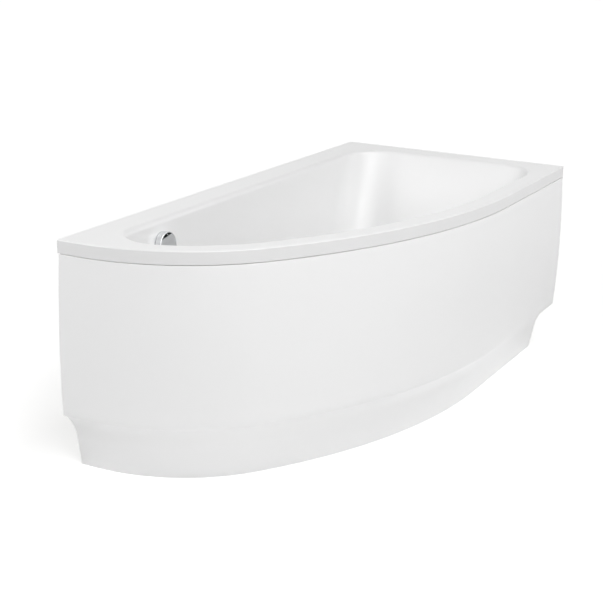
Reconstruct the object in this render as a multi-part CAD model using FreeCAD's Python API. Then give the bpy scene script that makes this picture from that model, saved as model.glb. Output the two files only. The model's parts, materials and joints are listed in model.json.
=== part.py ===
import FreeCAD, Part
import math
import os

# Asymmetric corner bathtub: acrylic shell, one curved front panel, leg frame, waste and overflow.
# Millimetres. +Z is up. The two walls that the bath stands against meet in the back corner:
# the long wall is the +Y side and the end wall is the +X side. The front faces -Y.
# The origin is on the floor, in the middle of the bath's overall box.
# Places are written from the corner of the two walls: x and y are negative distances from it.

# --- Fits and tools ------------------------------------------------------------------------
LAYER_GAP = 0.3            # between layers, and round clamped pipes
SLIDE_FIT = 0.1            # round spindles, rods and screws, and beside nuts
SEAT_GAP = 0.05            # under a screw's head
PAST = 1.0                 # how far a cut or a joined part runs past what it meets
HOLE_REACH = 30.0          # how far a hole's cut runs to each side of the basin's skin
SAME_HEIGHT = 0.01         # edges this close in height are level
NEAR_MOUTH = 0.5           # edges this close to the basin's outline belong to it

# --- Overall -------------------------------------------------------------------------------
LENGTH = 1500.0            # along the long wall
WIDTH = 700.0              # along the end wall
HEIGHT = 570.0             # floor to the top of the rim
PANEL_CROWN = 7.0          # how far the panel swells past the rim

# --- Front curve, in plan ------------------------------------------------------------------
FRONT_RADIUS = 1440.0      # long flat arc after the straight stretch
FRONT_TURN = math.radians(35.0)
END_RADIUS = 470.0         # tighter arc round the narrow end

# --- Rim -----------------------------------------------------------------------------------
RIM_BAND = 32.0            # visible height of the rim
END_FLANGE = 60.0          # depth of the flange on the end wall
SKIN = 5.0                 # acrylic
FLANGE_SKIN = 6.0
RIM_EDGE_RADIUS = 3.0
BACK_CORNER_RADIUS = 10.0
END_CORNER_RADIUS = 4.0
UNDERSIDE_CORNERS = (2.0, 6.0)         # inside the flanges: at the ends, and at the walls' corner

# --- Basin: insets from the rim's outer edge, at the top and at the floor -------------------
FLOOR = 150.0              # inside of the basin's floor
LIP = 16.0                 # rounding from the deck into the basin
COLLAR_OVERLAP = 3.0       # how far the ring under the lip starts inside the basin's wall
BOWL = 60.0                # rounding from the walls into the floor
BOWL_STEPS = (10, 22, 35, 48, 60, 71, 81, 90)
INSET_WALL = (84.0, 125.0)
INSET_END = (74.0, 330.0)      # the sloped backrest
INSET_FRONT = (60.0, 105.0)
INSET_NARROW = (66.0, 140.0)
RADIUS_BACK = (130.0, 165.0)
RADIUS_FRONT = (95.0, 130.0)
RADIUS_NARROW = (95.0, 110.0)

# --- Layers under the basin ----------------------------------------------------------------
REINFORCEMENT = 3.2
REINFORCEMENT_DROP = 0.5   # its top edge, below the thickened lip
OVERFLOW_CLEAR = 18.0      # it stops this far from the overflow's hole
WASTE_CLEAR = 20.0         # and this far from the waste's hole
BOARD_THICKNESS = 16.0
BOARD_X = (-1110.0, -430.0)
BOARD_MARGIN = 12.0

# --- Front panel ---------------------------------------------------------------------------
PANEL_SKIN = 4.0
PANEL_GAP = 1.5            # seam under the rim
PANEL_RETURN = 18.0        # lip folded inward along the top
PANEL_WALL_GAP = 6.5       # the panel stops this far from each wall
PANEL_EDGE_Z = 148.0       # lower edge of the crowned face
NOSE_RISE = 3.0            # the edge is rounded from this far above it
NOSE_MIDDLE = (1.0, 147.8)     # inward, up
NOSE_END = (3.4, 145.8)
BACK_RISE = 6.0            # the back of the crowned face starts this far above the edge
COVE_START = (6.0, 144.0)  # inward, up
COVE_RADIUS = 112.0
COVE_TURN = (35.0, 79.0)   # degrees below level, at the top and the bottom of the cove

# --- Panel fixings -------------------------------------------------------------------------
CLIP_PLACES = (-120.0, -420.0)         # on the straight stretch, along X
CLIP_ANGLES = (14.0, 31.0)             # on the long arc
CLIP_END_ANGLES = (30.0,)              # on the end arc
CLIP_WIDTH = 30.0
CLIP_SKIN = 1.5
CLIP_GAP = 0.6             # behind the panel's lip
CLIP_DROP = 12.0           # leg below the lip
CLIP_FOOT = 24.0           # depth of the foot under the deck
CLIP_TONGUE = 9.0          # reach of the tongue under the lip
CLIP_TONGUE_GAP = 0.5
FLOOR_BRACKET_PLACES = (-150.0, -430.0)
FLOOR_BRACKET_ANGLES = (18.0, 33.0)
FLOOR_BRACKET_SIZE = 34.0
FLOOR_BRACKET_SKIN = 2.0
FLOOR_BRACKET_HOLE = 2.75
FLOOR_BRACKET_HOLE_STEP = 22.0
FLOOR_BRACKET_GAP = 0.8    # behind the panel's foot

# --- Leg frame -----------------------------------------------------------------------------
RAIL_WIDTH = 30.0
RAIL_HEIGHT = 25.0
RAIL_SKIN = 2.0
RAIL_NARROW_X = -1060.0
RAIL_WIDE_X = -480.0
FEET = (
    ("wide_back", RAIL_WIDE_X, -110.0),
    ("wide_front", RAIL_WIDE_X, -585.0),
    ("narrow_back", RAIL_NARROW_X, -110.0),
    ("narrow_front", RAIL_NARROW_X, -452.0),
)
RAIL_OVERHANG = 26.0       # rail beyond the foot's axis
ROD_RADIUS = 5.0
ROD_TOP = 137.0
ROD_BOTTOM = 6.5
PAD_RADIUS = 24.0
PAD_RIM = 6.0
PAD_TOP = 22.0
PAD_NECK_RADIUS = 10.0
PAD_EDGE_RADIUS = 1.5
PAD_SHOULDER = 5.0         # flat ring round the cone
NUT_FLATS = 17.0
NUT_HEIGHT = 7.5
THREAD_CLEARANCE = 0.15
ROD_CLEARANCE = 0.4        # round the rod in the rail
ROD_CHAMFER = 1.0
SCREW_RADIUS = 2.0
SCREW_HEAD_RADIUS = 4.5
SCREW_HEAD = 2.5
SCREW_BITE = 12.0
SCREW_SHARES = (0.33, 0.49, 0.65)      # along a rail, from the foot on the wall's side

# --- Wall brackets -------------------------------------------------------------------------
BRACKET_WIDTH = 60.0
BRACKET_SKIN = 2.0
BRACKET_DROP = 52.0
BRACKET_HOOK = 12.0
BRACKET_HOOK_RISE = 14.0
BRACKET_GAP = 0.5          # under the flange
BRACKET_HOLES = 36.0
BRACKET_HOLE_RADIUS = 3.2
BRACKET_LONG_WALL = (-330.0, -1180.0)
BRACKET_END_WALL = -350.0

# --- Waste and overflow --------------------------------------------------------------------
OVERFLOW_X = -1209.0
OVERFLOW_Z = 505.5
OVERFLOW_HOLE = 24.0
OVERFLOW_RING = (0.4, 3.2)     # distances from the basin's wall, as all on this axis
NECK_GAP = 0.5             # between the neck and the hole
NECK_SKIN = 3.0
NECK_REACH = 6.0           # behind the wall's face
SEAL = 3.0                 # thickness of both flat seals
OVERFLOW_SEAL_RADIUS = 33.0
KNOB_RADIUS = 34.5
KNOB_FRONT = 20.0          # from the basin's wall to the knob's face
KNOB_BACK = 4.0
KNOB_SKIN = 2.5
KNOB_OPENING_EDGE = 23.5   # from the knob's axis to the straight edge of the opening in its face
KNOB_OPENING_SIDE = 9.5    # degrees from straight up, towards the narrow end
KNOB_EDGE_RADIUS = 1.5
SPINDLE_RADIUS = 4.0
SPINDLE_BACK = 20.0
ELBOW_RADIUS = 34.0
ELBOW_ROOM_RADIUS = 25.0
ELBOW_DEPTH = 30.0
ELBOW_SKIN = 4.0
BOSS_RADIUS = 9.0
BOSS_SET_BACK = 8.0
SPIGOT_START = 20.0        # below the elbow's middle
SPIGOT_LENGTH = 52.0
SPIGOT_SKIN = 2.0
PIPE_FIT = 0.2             # between a spigot and the pipe on it
PIPE_START = 38.0          # the pipe's end, below the elbow's middle
PIPE_BEND_Z = 240.0
PIPE_END = 62.0            # the pipe's other end, behind the waste's axis
WASTE_X = -1200.0
WASTE_Y = -240.0
WASTE_HOLE = 25.0
WASTE_RING = 35.0
WASTE_BORE = 20.0
WASTE_NECK = 22.0          # below the basin's floor
WASTE_NECK_GAP = 0.6
RING_HEIGHT = 2.0
SPOKE_WIDTH = 2.5
SPOKE_HEIGHT = 6.0
GUIDE_RADIUS = 7.0
GUIDE_HEIGHT = 8.0
GUIDE_LOW = 20.0           # bottom of the stem's guide, below the basin's floor
PLUG_RADIUS = 30.0
PLUG_Z = (4.6, 9.0)        # above the basin's floor
PLUG_CROWN = 3.0
PLUG_HUB_RADIUS = 11.9
PLUG_HUB_DROP = 6.0
PLUG_SEAL_RADIUS = 24.0
PLUG_SEAL_Z = (2.6, 4.4)
STEM_DROP = 48.0
WASTE_CUP_RADIUS = 36.0
CUP_LOW = 102.0
CUP_FLOOR = 4.0
TAIL_RADIUS = 24.0
TAIL_SKIN = 4.0
TAIL_LOW = 86.0
INLET_Z = 118.0
INLET_START = 25.0         # behind the waste's axis
INLET_LENGTH = 60.0
PIPE_RADIUS = 15.0
PIPE_SKIN = 2.0
CABLE_RADIUS = 3.0
CABLE_SIDE = 26.0          # beside the overflow's pipe
CABLE_BACK = 6.0           # behind the pipe's line
CABLE_START = 26.0         # below the elbow's middle
CABLE_BOWS = ((-4.0, 300.0), (2.0, 150.0))     # sideways, up
CABLE_TURN_IN = 45.0
CABLE_END = 33.0           # behind the waste's axis
GLAND_SIDE = 22.0
GLAND_START = 18.0
GLAND_Z = 112.0
GLAND_RADIUS = 6.0
GLAND_LENGTH = 14.0
OUTLET_RADIUS = 20.0
OUTLET_SKIN = 2.0
OUTLET_NECK = 19.0         # thinner stretch held by the trap's nut
OUTLET_FREE = 55.0         # length of the free end
OUTLET_Z = 64.0
OUTLET_END_Y = -62.0
OUTLET_START = 2.0         # beyond the trap's bottle
OUTLET_NUT_START = 48.0    # from the waste's axis
OUTLET_NUT_RADIUS = 31.0
OUTLET_NUT_LENGTH = 22.0
SPOUT_RADIUS = 24.0
SPOUT_LENGTH = 66.0
TRAP_RADIUS = 42.0
TRAP_SKIN = 3.0
TRAP_EDGE_RADIUS = 5.0
TRAP_Z = (26.0, 92.0)
TRAP_NUT_RADIUS = 34.0
TRAP_NUT_HEIGHT = 9.2
TRAP_NUT_RIBS = 12
TRAP_NUT_RIB = (2.0, 4.0)      # how far a rib stands out, and its width
TRAP_CAP_RADIUS = 28.0
TRAP_CAP_HEIGHT = 7.7
TRAP_CAP_RIDGE = (22.0, 2.5, 6.0)      # half length, half width, depth

# --- Worked out ----------------------------------------------------------------------------
X_WALL = (LENGTH + PANEL_CROWN) / 2
Y_WALL = (WIDTH + PANEL_CROWN) / 2
SIN_TURN = math.sin(FRONT_TURN)
COS_TURN = math.cos(FRONT_TURN)
STRAIGHT = LENGTH - (FRONT_RADIUS - END_RADIUS) * SIN_TURN - END_RADIUS
FRONT_CENTRE = (-STRAIGHT, FRONT_RADIUS - WIDTH)
END_CENTRE = (
    -STRAIGHT - (FRONT_RADIUS - END_RADIUS) * SIN_TURN,
    FRONT_CENTRE[1] - (FRONT_RADIUS - END_RADIUS) * COS_TURN,
)
TURN_DEG = math.degrees(FRONT_TURN)
RIM_BOTTOM = HEIGHT - RIM_BAND
COLLAR_LOW = HEIGHT - LIP + (LIP - SKIN) * (math.sqrt(2.0) - 1)
DECK_MIDDLE = HEIGHT - SKIN / 2
PANEL_TOP = RIM_BOTTOM - PANEL_GAP
BOARD_TOP = FLOOR - SKIN - 2 * LAYER_GAP - REINFORCEMENT
RAIL_TOP = BOARD_TOP - BOARD_THICKNESS - LAYER_GAP
ELBOW_FRONT = -SKIN - 2 * LAYER_GAP - SEAL
SPIGOT_RADIUS = PIPE_RADIUS - PIPE_SKIN - PIPE_FIT

Y_AXIS = FreeCAD.Vector(0, 1, 0)
Z_AXIS = FreeCAD.Vector(0, 0, 1)


# --- Helpers -------------------------------------------------------------------------------
def at(x, y, z=0.0):
    """Point at x and y from the corner of the walls, z above the floor."""
    return FreeCAD.Vector(X_WALL + x, Y_WALL + y, z)


def line(start, end):
    return Part.LineSegment(start, end).toShape()


def plan_arc(centre, radius, start_deg, end_deg, z):
    """Level arc about centre, from one bearing to another."""
    points = []
    for bearing in (start_deg, (start_deg + end_deg) / 2, end_deg):
        turn = math.radians(bearing)
        points.append(at(centre[0] + radius * math.cos(turn), centre[1] + radius * math.sin(turn), z))
    return Part.Arc(*points).toShape()


def ends(edge):
    return edge.valueAt(edge.FirstParameter), edge.valueAt(edge.LastParameter)


def joined(edges):
    """Closed wire through the edges in order, with straight runs between them."""
    parts = []
    for index, edge in enumerate(edges):
        following = edges[(index + 1) % len(edges)]
        parts.append(edge)
        leave = ends(edge)[1]
        reach = ends(following)[0]
        if leave.distanceToPoint(reach) > 1e-6:
            parts.append(line(leave, reach))
    return Part.Wire(parts)


def cylinder(radius, height, base, axis=Z_AXIS):
    return Part.makeCylinder(radius, height, base, axis)


def tube(outer, inner, height, base, axis=Z_AXIS):
    return cylinder(outer, height, base, axis).cut(cylinder(inner, height, base, axis))


def hexagon(flats, height, base):
    corner = flats / math.sqrt(3.0)
    points = []
    for index in range(7):
        turn = math.radians(60 * index)
        points.append(base + FreeCAD.Vector(corner * math.cos(turn), corner * math.sin(turn), 0))
    return Part.Face(Part.makePolygon(points)).extrude(Z_AXIS * height)


def box(x_range, y_range, z_range):
    """Box between two x, two y and two z, from the corner of the walls."""
    corner = at(x_range[0], y_range[0], z_range[0])
    sides = (x_range[1] - x_range[0], y_range[1] - y_range[0], z_range[1] - z_range[0])
    return Part.makeBox(*sides, corner)


def bent_path(points, share=0.45):
    """Wire through the points, each corner rounded as widely as its two runs allow."""
    edges = []
    start = points[0]
    for before, corner, after in zip(points, points[1:], points[2:]):
        back = (before - corner).normalize()
        ahead = (after - corner).normalize()
        reach = share * min(corner.distanceToPoint(before), corner.distanceToPoint(after))
        half_turn = (math.pi - back.getAngle(ahead)) / 2
        radius = reach / math.tan(half_turn)
        entry = corner + back * reach
        leave = corner + ahead * reach
        inward = (back + ahead).normalize()
        middle = corner + inward * (radius / math.cos(half_turn) - radius)
        edges.append(line(start, entry))
        edges.append(Part.Arc(entry, middle, leave).toShape())
        start = leave
    edges.append(line(start, points[-1]))
    return Part.Wire(edges)


def piped(points, outer, inner=0.0):
    """Round rod, or round tube with a bore, along a bent path."""
    path = bent_path(points)
    heading = (points[1] - points[0]).normalize()
    solids = []
    for radius in (outer, inner):
        if radius > 0:
            ring = Part.Wire(Part.makeCircle(radius, points[0], heading))
            solids.append(path.makePipeShell([ring], True, True))
    return solids[0] if len(solids) == 1 else solids[0].cut(solids[1])


def round_front(shape, angle):
    """Shape made at the start of the long arc, moved round it by an angle in degrees."""
    moved = shape.copy()
    moved.rotate(at(*FRONT_CENTRE), Z_AXIS, -angle)
    return moved


def round_end(shape, angle):
    """Shape made at the start of the long arc, moved past it and round the end arc."""
    moved = round_front(shape, TURN_DEG)
    moved.rotate(at(*END_CENTRE), Z_AXIS, -angle)
    return moved


def save(name, shape):
    solids = shape.Solids
    if not shape.isValid() or not solids:
        raise ValueError(name + " is not a valid solid")
    whole = solids[0] if len(solids) == 1 else Part.makeCompound(solids)
    whole.exportStep("parts/" + name + ".step")
    print(name, len(solids), round(whole.Volume / 1000.0, 2), "cm3")


# --- Bath shell ----------------------------------------------------------------------------
def rim_wire(front, wall, z, corner=END_CORNER_RADIUS, back=BACK_CORNER_RADIUS):
    """Rim outline at z, set in by front along the curve and by wall along the two walls."""
    start_y = front - WIDTH
    edges = [
        plan_arc((-wall - corner, start_y + corner), corner, 0, -90, z),
        plan_arc(FRONT_CENTRE, FRONT_RADIUS - front, -90, -90 - TURN_DEG, z),
        plan_arc(END_CENTRE, END_RADIUS - front, -90 - TURN_DEG, -180, z),
        plan_arc((front - LENGTH + corner, -wall - corner), corner, 180, 90, z),
        plan_arc((-wall - back, -wall - back), back, 90, 0, z),
    ]
    return joined(edges)


def between(pair, share):
    return pair[0] + (pair[1] - pair[0]) * share


def basin_wire(z, depth, inset):
    """Basin outline at z. depth runs from 0 at the deck to 1 at the floor."""
    wall = between(INSET_WALL, depth) + inset
    end = between(INSET_END, depth) + inset
    front = between(INSET_FRONT, depth) + inset
    narrow = between(INSET_NARROW, depth) + inset
    back_radius = between(RADIUS_BACK, depth) - inset
    front_radius = between(RADIUS_FRONT, depth) - inset
    narrow_radius = between(RADIUS_NARROW, depth) - inset

    long_arc = FRONT_RADIUS - front
    end_arc = (LENGTH - narrow - STRAIGHT - long_arc * SIN_TURN) / (1 - SIN_TURN)
    end_centre = (
        -STRAIGHT - (long_arc - end_arc) * SIN_TURN,
        FRONT_CENTRE[1] - (long_arc - end_arc) * COS_TURN,
    )
    corner_y = -wall - narrow_radius
    rise = corner_y - end_centre[1]
    corner_x = end_centre[0] - math.sqrt((end_arc - narrow_radius) ** 2 - rise ** 2)
    meet = math.degrees(math.atan2(rise, corner_x - end_centre[0]))
    edges = [
        plan_arc((-end - front_radius, front - WIDTH + front_radius), front_radius, 0, -90, z),
        plan_arc(FRONT_CENTRE, long_arc, -90, -90 - TURN_DEG, z),
        plan_arc(end_centre, end_arc, -90 - TURN_DEG, meet, z),
        plan_arc((corner_x, corner_y), narrow_radius, meet, -270, z),
        plan_arc((-end - back_radius, -wall - back_radius), back_radius, 90, 0, z),
    ]
    return joined(edges)


def depth_at(z):
    return (HEIGHT - z) / (HEIGHT - FLOOR)


def basin_plug(offset, top):
    """The basin as a solid whose skin is offset outside the basin's inside, up to z = top."""
    bowl_top = FLOOR + BOWL
    start = basin_wire(bowl_top, depth_at(bowl_top), -offset)
    walls = Part.makeLoft([basin_wire(top, depth_at(top), -offset), start], True, True)
    outlines = [start]
    for degrees in BOWL_STEPS:
        turn = math.radians(degrees)
        inner_z = FLOOR + BOWL * (1 - math.sin(turn))
        inset = BOWL - (BOWL + offset) * math.cos(turn)
        outlines.append(basin_wire(inner_z - offset * math.sin(turn), depth_at(inner_z), inset))
    return walls.fuse(Part.makeLoft(outlines, True, False))


def lip_collar():
    """Slanted ring under the deck that keeps the lip as thick as the rest of the shell."""
    outlines = []
    for z in (COLLAR_LOW - COLLAR_OVERLAP, DECK_MIDDLE):
        outlines.append(basin_wire(z, depth_at(z), COLLAR_LOW - z - SKIN))
    return Part.makeLoft(outlines, True, True)


def wall_lean():
    """Angle of the basin's wall at the overflow, from upright."""
    return math.atan((INSET_WALL[1] - INSET_WALL[0]) / (HEIGHT - FLOOR))


def overflow_point(out):
    """Point on the overflow's axis, out from the basin's wall into the bath."""
    inset = between(INSET_WALL, depth_at(OVERFLOW_Z))
    lean = wall_lean()
    return at(OVERFLOW_X, -inset - out * math.cos(lean), OVERFLOW_Z + out * math.sin(lean))


def overflow_axis():
    lean = wall_lean()
    return FreeCAD.Vector(0, -math.cos(lean), math.sin(lean))


def top_edges(shape, height):
    """The edges of a shape that lie level at its top."""
    return [edge for edge in shape.Edges if edge.BoundBox.ZMin > height - SAME_HEIGHT]


def lip_edges(shell):
    """The edges where the deck meets the basin."""
    mouth = basin_wire(HEIGHT, 0.0, 0.0)
    found = []
    for edge in top_edges(shell, HEIGHT):
        middle = edge.valueAt((edge.FirstParameter + edge.LastParameter) / 2)
        if Part.Vertex(middle).distToShape(mouth)[0] < NEAR_MOUTH:
            found.append(edge)
    return found


def bath_shell():
    rim = Part.Face(rim_wire(0.0, 0.0, RIM_BOTTOM)).extrude(Z_AXIS * RIM_BAND)
    rim = rim.makeFillet(RIM_EDGE_RADIUS, top_edges(rim, HEIGHT))
    flange_bottom = HEIGHT - END_FLANGE
    deep = Part.Face(rim_wire(0.0, 0.0, flange_bottom)).extrude(Z_AXIS * (END_FLANGE - RIM_BAND))
    by_end_wall = box((-FLANGE_SKIN, PAST), (-WIDTH - PAST, PAST), (flange_bottom, RIM_BOTTOM))
    underside = Part.Face(rim_wire(SKIN, FLANGE_SKIN, flange_bottom, *UNDERSIDE_CORNERS))
    hollow = underside.extrude(Z_AXIS * (END_FLANGE - SKIN))
    shell = rim.fuse(deep.common(by_end_wall)).cut(hollow)
    shell = shell.fuse(basin_plug(SKIN, DECK_MIDDLE)).fuse(lip_collar())
    shell = shell.cut(basin_plug(0.0, HEIGHT + SKIN))
    shell = shell.makeFillet(LIP, lip_edges(shell))
    shell = shell.cut(overflow_cylinder(OVERFLOW_HOLE, -HOLE_REACH, HOLE_REACH))
    return shell.cut(waste_cylinder(WASTE_HOLE, FLOOR - HOLE_REACH, FLOOR + HOLE_REACH))


def shell_reinforcement():
    top = COLLAR_LOW - REINFORCEMENT_DROP
    inner = SKIN + LAYER_GAP
    layer = basin_plug(inner + REINFORCEMENT, top).cut(basin_plug(inner, top))
    layer = layer.cut(overflow_cylinder(OVERFLOW_HOLE + OVERFLOW_CLEAR, -HOLE_REACH, HOLE_REACH))
    return layer.cut(
        waste_cylinder(WASTE_HOLE + WASTE_CLEAR, FLOOR - HOLE_REACH, FLOOR + HOLE_REACH))


def base_board():
    outline = Part.Face(basin_wire(BOARD_TOP - BOARD_THICKNESS, 1.0, BOWL + BOARD_MARGIN))
    board = outline.extrude(Z_AXIS * BOARD_THICKNESS)
    board = board.common(box(BOARD_X, (-WIDTH, 0), (0, HEIGHT)))
    for hole in rail_screw_points():
        board = board.cut(cylinder(SCREW_RADIUS + SLIDE_FIT, SCREW_BITE + PAST, hole))
    return board


# --- Front panel ---------------------------------------------------------------------------
def profile_point(inward, z):
    """Point of the panel's profile, at the start of the long arc."""
    return at(-STRAIGHT, inward - WIDTH, z)


def crown_inward(z, skin):
    """How far in the crowned face, or its back at skin depth, lies at height z."""
    half = (PANEL_TOP - PANEL_EDGE_Z) / 2
    radius = (half ** 2 + PANEL_CROWN ** 2) / (2 * PANEL_CROWN)
    middle = (PANEL_TOP + PANEL_EDGE_Z) / 2
    return radius - PANEL_CROWN - math.sqrt((radius - skin) ** 2 - (z - middle) ** 2)


def crown_arc(skin, top, bottom):
    heights = (top, (top + bottom) / 2, bottom)
    return Part.Arc(*[profile_point(crown_inward(z, skin), z) for z in heights]).toShape()


def cove_point(skin, degrees, down=0.0):
    """Point on the cove's face or back. down moves it along the straight foot below."""
    first = math.radians(COVE_TURN[0])
    turn = math.radians(degrees)
    inward = COVE_START[0] + COVE_RADIUS * (math.sin(turn) - math.sin(first)) + skin * math.sin(turn)
    z = COVE_START[1] - COVE_RADIUS * (math.cos(first) - math.cos(turn)) + skin * math.cos(turn)
    return inward + down * math.cos(turn), z - down * math.sin(turn)


def cove_arc(skin, first, last):
    degrees = (first, (first + last) / 2, last)
    return Part.Arc(*[profile_point(*cove_point(skin, turn)) for turn in degrees]).toShape()


def cove_foot(skin):
    """Where the straight foot under the cove meets the floor."""
    steep = COVE_TURN[1]
    down = cove_point(skin, steep)[1] / math.sin(math.radians(steep))
    return profile_point(*cove_point(skin, steep, down))


def panel_profile():
    nose_top = PANEL_EDGE_Z + NOSE_RISE
    nose = Part.Arc(
        profile_point(crown_inward(nose_top, 0.0), nose_top),
        profile_point(*NOSE_MIDDLE),
        profile_point(*NOSE_END),
    ).toShape()
    face_edges = [
        crown_arc(0.0, PANEL_TOP, nose_top),
        nose,
        cove_arc(0.0, *COVE_TURN),
    ]
    back_edges = [
        cove_arc(PANEL_SKIN, COVE_TURN[1], COVE_TURN[0]),
        crown_arc(PANEL_SKIN, PANEL_EDGE_Z + BACK_RISE, PANEL_TOP - PANEL_SKIN),
    ]
    foot = line(cove_foot(0.0), cove_foot(PANEL_SKIN))
    lip = line(
        profile_point(PANEL_RETURN, PANEL_TOP - PANEL_SKIN),
        profile_point(PANEL_RETURN, PANEL_TOP),
    )
    return Part.Face(joined(face_edges + [foot] + back_edges + [lip]))


def front_panel():
    profile = panel_profile()
    straight = profile.extrude(FreeCAD.Vector(STRAIGHT - PANEL_WALL_GAP, 0, 0))
    long_arc = profile.revolve(at(*FRONT_CENTRE), Z_AXIS, -TURN_DEG)
    end_arc = round_front(profile, TURN_DEG).revolve(at(*END_CENTRE), Z_AXIS, TURN_DEG - 90)
    last = round_end(profile, 90 - TURN_DEG)
    last_run = -END_CENTRE[1] - PANEL_WALL_GAP
    short = last.extrude(FreeCAD.Vector(0, last_run, 0))
    return straight.fuse([long_arc, end_arc, short]).removeSplitter()


def at_front_places(shape, places, angles, end_angles=()):
    """Copies of a shape made at the start of the long arc, spread along the front."""
    copies = []
    for x in places:
        moved = shape.copy()
        moved.translate(FreeCAD.Vector(x + STRAIGHT, 0, 0))
        copies.append(moved)
    copies += [round_front(shape, angle) for angle in angles]
    copies += [round_end(shape, angle) for angle in end_angles]
    return copies


def panel_clip():
    """Spring clip under the deck: it stands behind the panel's lip, with a tongue below it."""
    half = CLIP_WIDTH / 2
    sides = (-STRAIGHT - half, -STRAIGHT + half)
    front = PANEL_RETURN + CLIP_GAP - WIDTH
    deck = HEIGHT - SKIN - LAYER_GAP
    lip_bottom = PANEL_TOP - PANEL_SKIN
    leg = box(sides, (front, front + CLIP_SKIN), (lip_bottom - CLIP_DROP, deck))
    top = box(sides, (front, front + CLIP_FOOT), (deck - CLIP_SKIN, deck))
    tongue_top = lip_bottom - CLIP_TONGUE_GAP
    tongue = box(sides, (front - CLIP_TONGUE, front + CLIP_SKIN),
                 (tongue_top - CLIP_SKIN, tongue_top))
    return leg.fuse([top, tongue]).removeSplitter()


def panel_clips():
    return Part.makeCompound(
        at_front_places(panel_clip(), CLIP_PLACES, CLIP_ANGLES, CLIP_END_ANGLES))


def floor_bracket():
    """Angle screwed to the floor, standing behind the foot of the panel."""
    half = FLOOR_BRACKET_SIZE / 2
    sides = (-STRAIGHT - half, -STRAIGHT + half)
    front = cove_foot(PANEL_SKIN).y - Y_WALL + FLOOR_BRACKET_GAP
    skin = FLOOR_BRACKET_SKIN
    foot = box(sides, (front, front + FLOOR_BRACKET_SIZE), (0, skin))
    leg = box(sides, (front, front + skin), (0, FLOOR_BRACKET_SIZE))
    hole = cylinder(FLOOR_BRACKET_HOLE, skin, at(-STRAIGHT, front + FLOOR_BRACKET_HOLE_STEP))
    return foot.fuse(leg).removeSplitter().cut(hole)


def panel_floor_brackets():
    return Part.makeCompound(
        at_front_places(floor_bracket(), FLOOR_BRACKET_PLACES, FLOOR_BRACKET_ANGLES))


# --- Leg frame -----------------------------------------------------------------------------
def feet_on(rail_x):
    return sorted(y for _, x, y in FEET if x == rail_x)


def rail_screw_points():
    """Where each rail is screwed up into the board."""
    points = []
    for rail_x in (RAIL_WIDE_X, RAIL_NARROW_X):
        front, back = feet_on(rail_x)
        for share in SCREW_SHARES:
            y = between((back, front), share)
            points.append(at(rail_x, y, BOARD_TOP - BOARD_THICKNESS))
    return points


def leg_rail(rail_x):
    front, back = feet_on(rail_x)
    half = RAIL_WIDTH / 2
    bottom = RAIL_TOP - RAIL_HEIGHT
    run = (front - RAIL_OVERHANG, back + RAIL_OVERHANG)
    rail = box((rail_x - half, rail_x + half), run, (bottom, RAIL_TOP))
    inner = half - RAIL_SKIN
    rail = rail.cut(box((rail_x - inner, rail_x + inner), run, (bottom, RAIL_TOP - RAIL_SKIN)))
    for y in (front, back):
        rail = rail.cut(cylinder(ROD_RADIUS + ROD_CLEARANCE, RAIL_HEIGHT, at(rail_x, y, bottom)))
    for point in rail_screw_points():
        if abs(point.x - X_WALL - rail_x) < half:
            start = FreeCAD.Vector(point.x, point.y, RAIL_TOP - RAIL_SKIN - PAST)
            rail = rail.cut(cylinder(SCREW_RADIUS + LAYER_GAP, RAIL_SKIN + 2 * PAST, start))
    return rail


def rail_screws():
    screws = []
    seat = RAIL_TOP - RAIL_SKIN - SEAT_GAP
    for point in rail_screw_points():
        under = FreeCAD.Vector(point.x, point.y, seat)
        head = cylinder(SCREW_HEAD_RADIUS, SCREW_HEAD, under - Z_AXIS * SCREW_HEAD)
        shank = cylinder(SCREW_RADIUS, point.z - seat + SCREW_BITE, under)
        screws.append(head.fuse(shank))
    return Part.makeCompound(screws)


def rod_nuts():
    """A nut above and a nut below the rail on every foot rod."""
    nuts = []
    below = RAIL_TOP - RAIL_SKIN - SLIDE_FIT - NUT_HEIGHT
    for _, x, y in FEET:
        for z in (RAIL_TOP + SLIDE_FIT, below):
            nut = hexagon(NUT_FLATS, NUT_HEIGHT, at(x, y, z))
            bore = cylinder(ROD_RADIUS + THREAD_CLEARANCE, NUT_HEIGHT, at(x, y, z))
            nuts.append(nut.cut(bore))
    return Part.makeCompound(nuts)


def foot_rod(x, y):
    rod = cylinder(ROD_RADIUS, ROD_TOP - ROD_BOTTOM, at(x, y, ROD_BOTTOM))
    return rod.makeChamfer(ROD_CHAMFER, [edge for edge in rod.Edges if edge.Closed])


def foot_pad(x, y):
    disc = cylinder(PAD_RADIUS, PAD_RIM, at(x, y))
    disc = disc.makeFillet(PAD_EDGE_RADIUS, top_edges(disc, PAD_RIM))
    cone = Part.makeCone(
        PAD_RADIUS - PAD_SHOULDER, PAD_NECK_RADIUS, PAD_TOP - PAD_RIM, at(x, y, PAD_RIM))
    socket = cylinder(ROD_RADIUS + SLIDE_FIT, PAD_TOP, at(x, y, ROD_BOTTOM - LAYER_GAP))
    return disc.fuse(cone).cut(socket)


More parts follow.
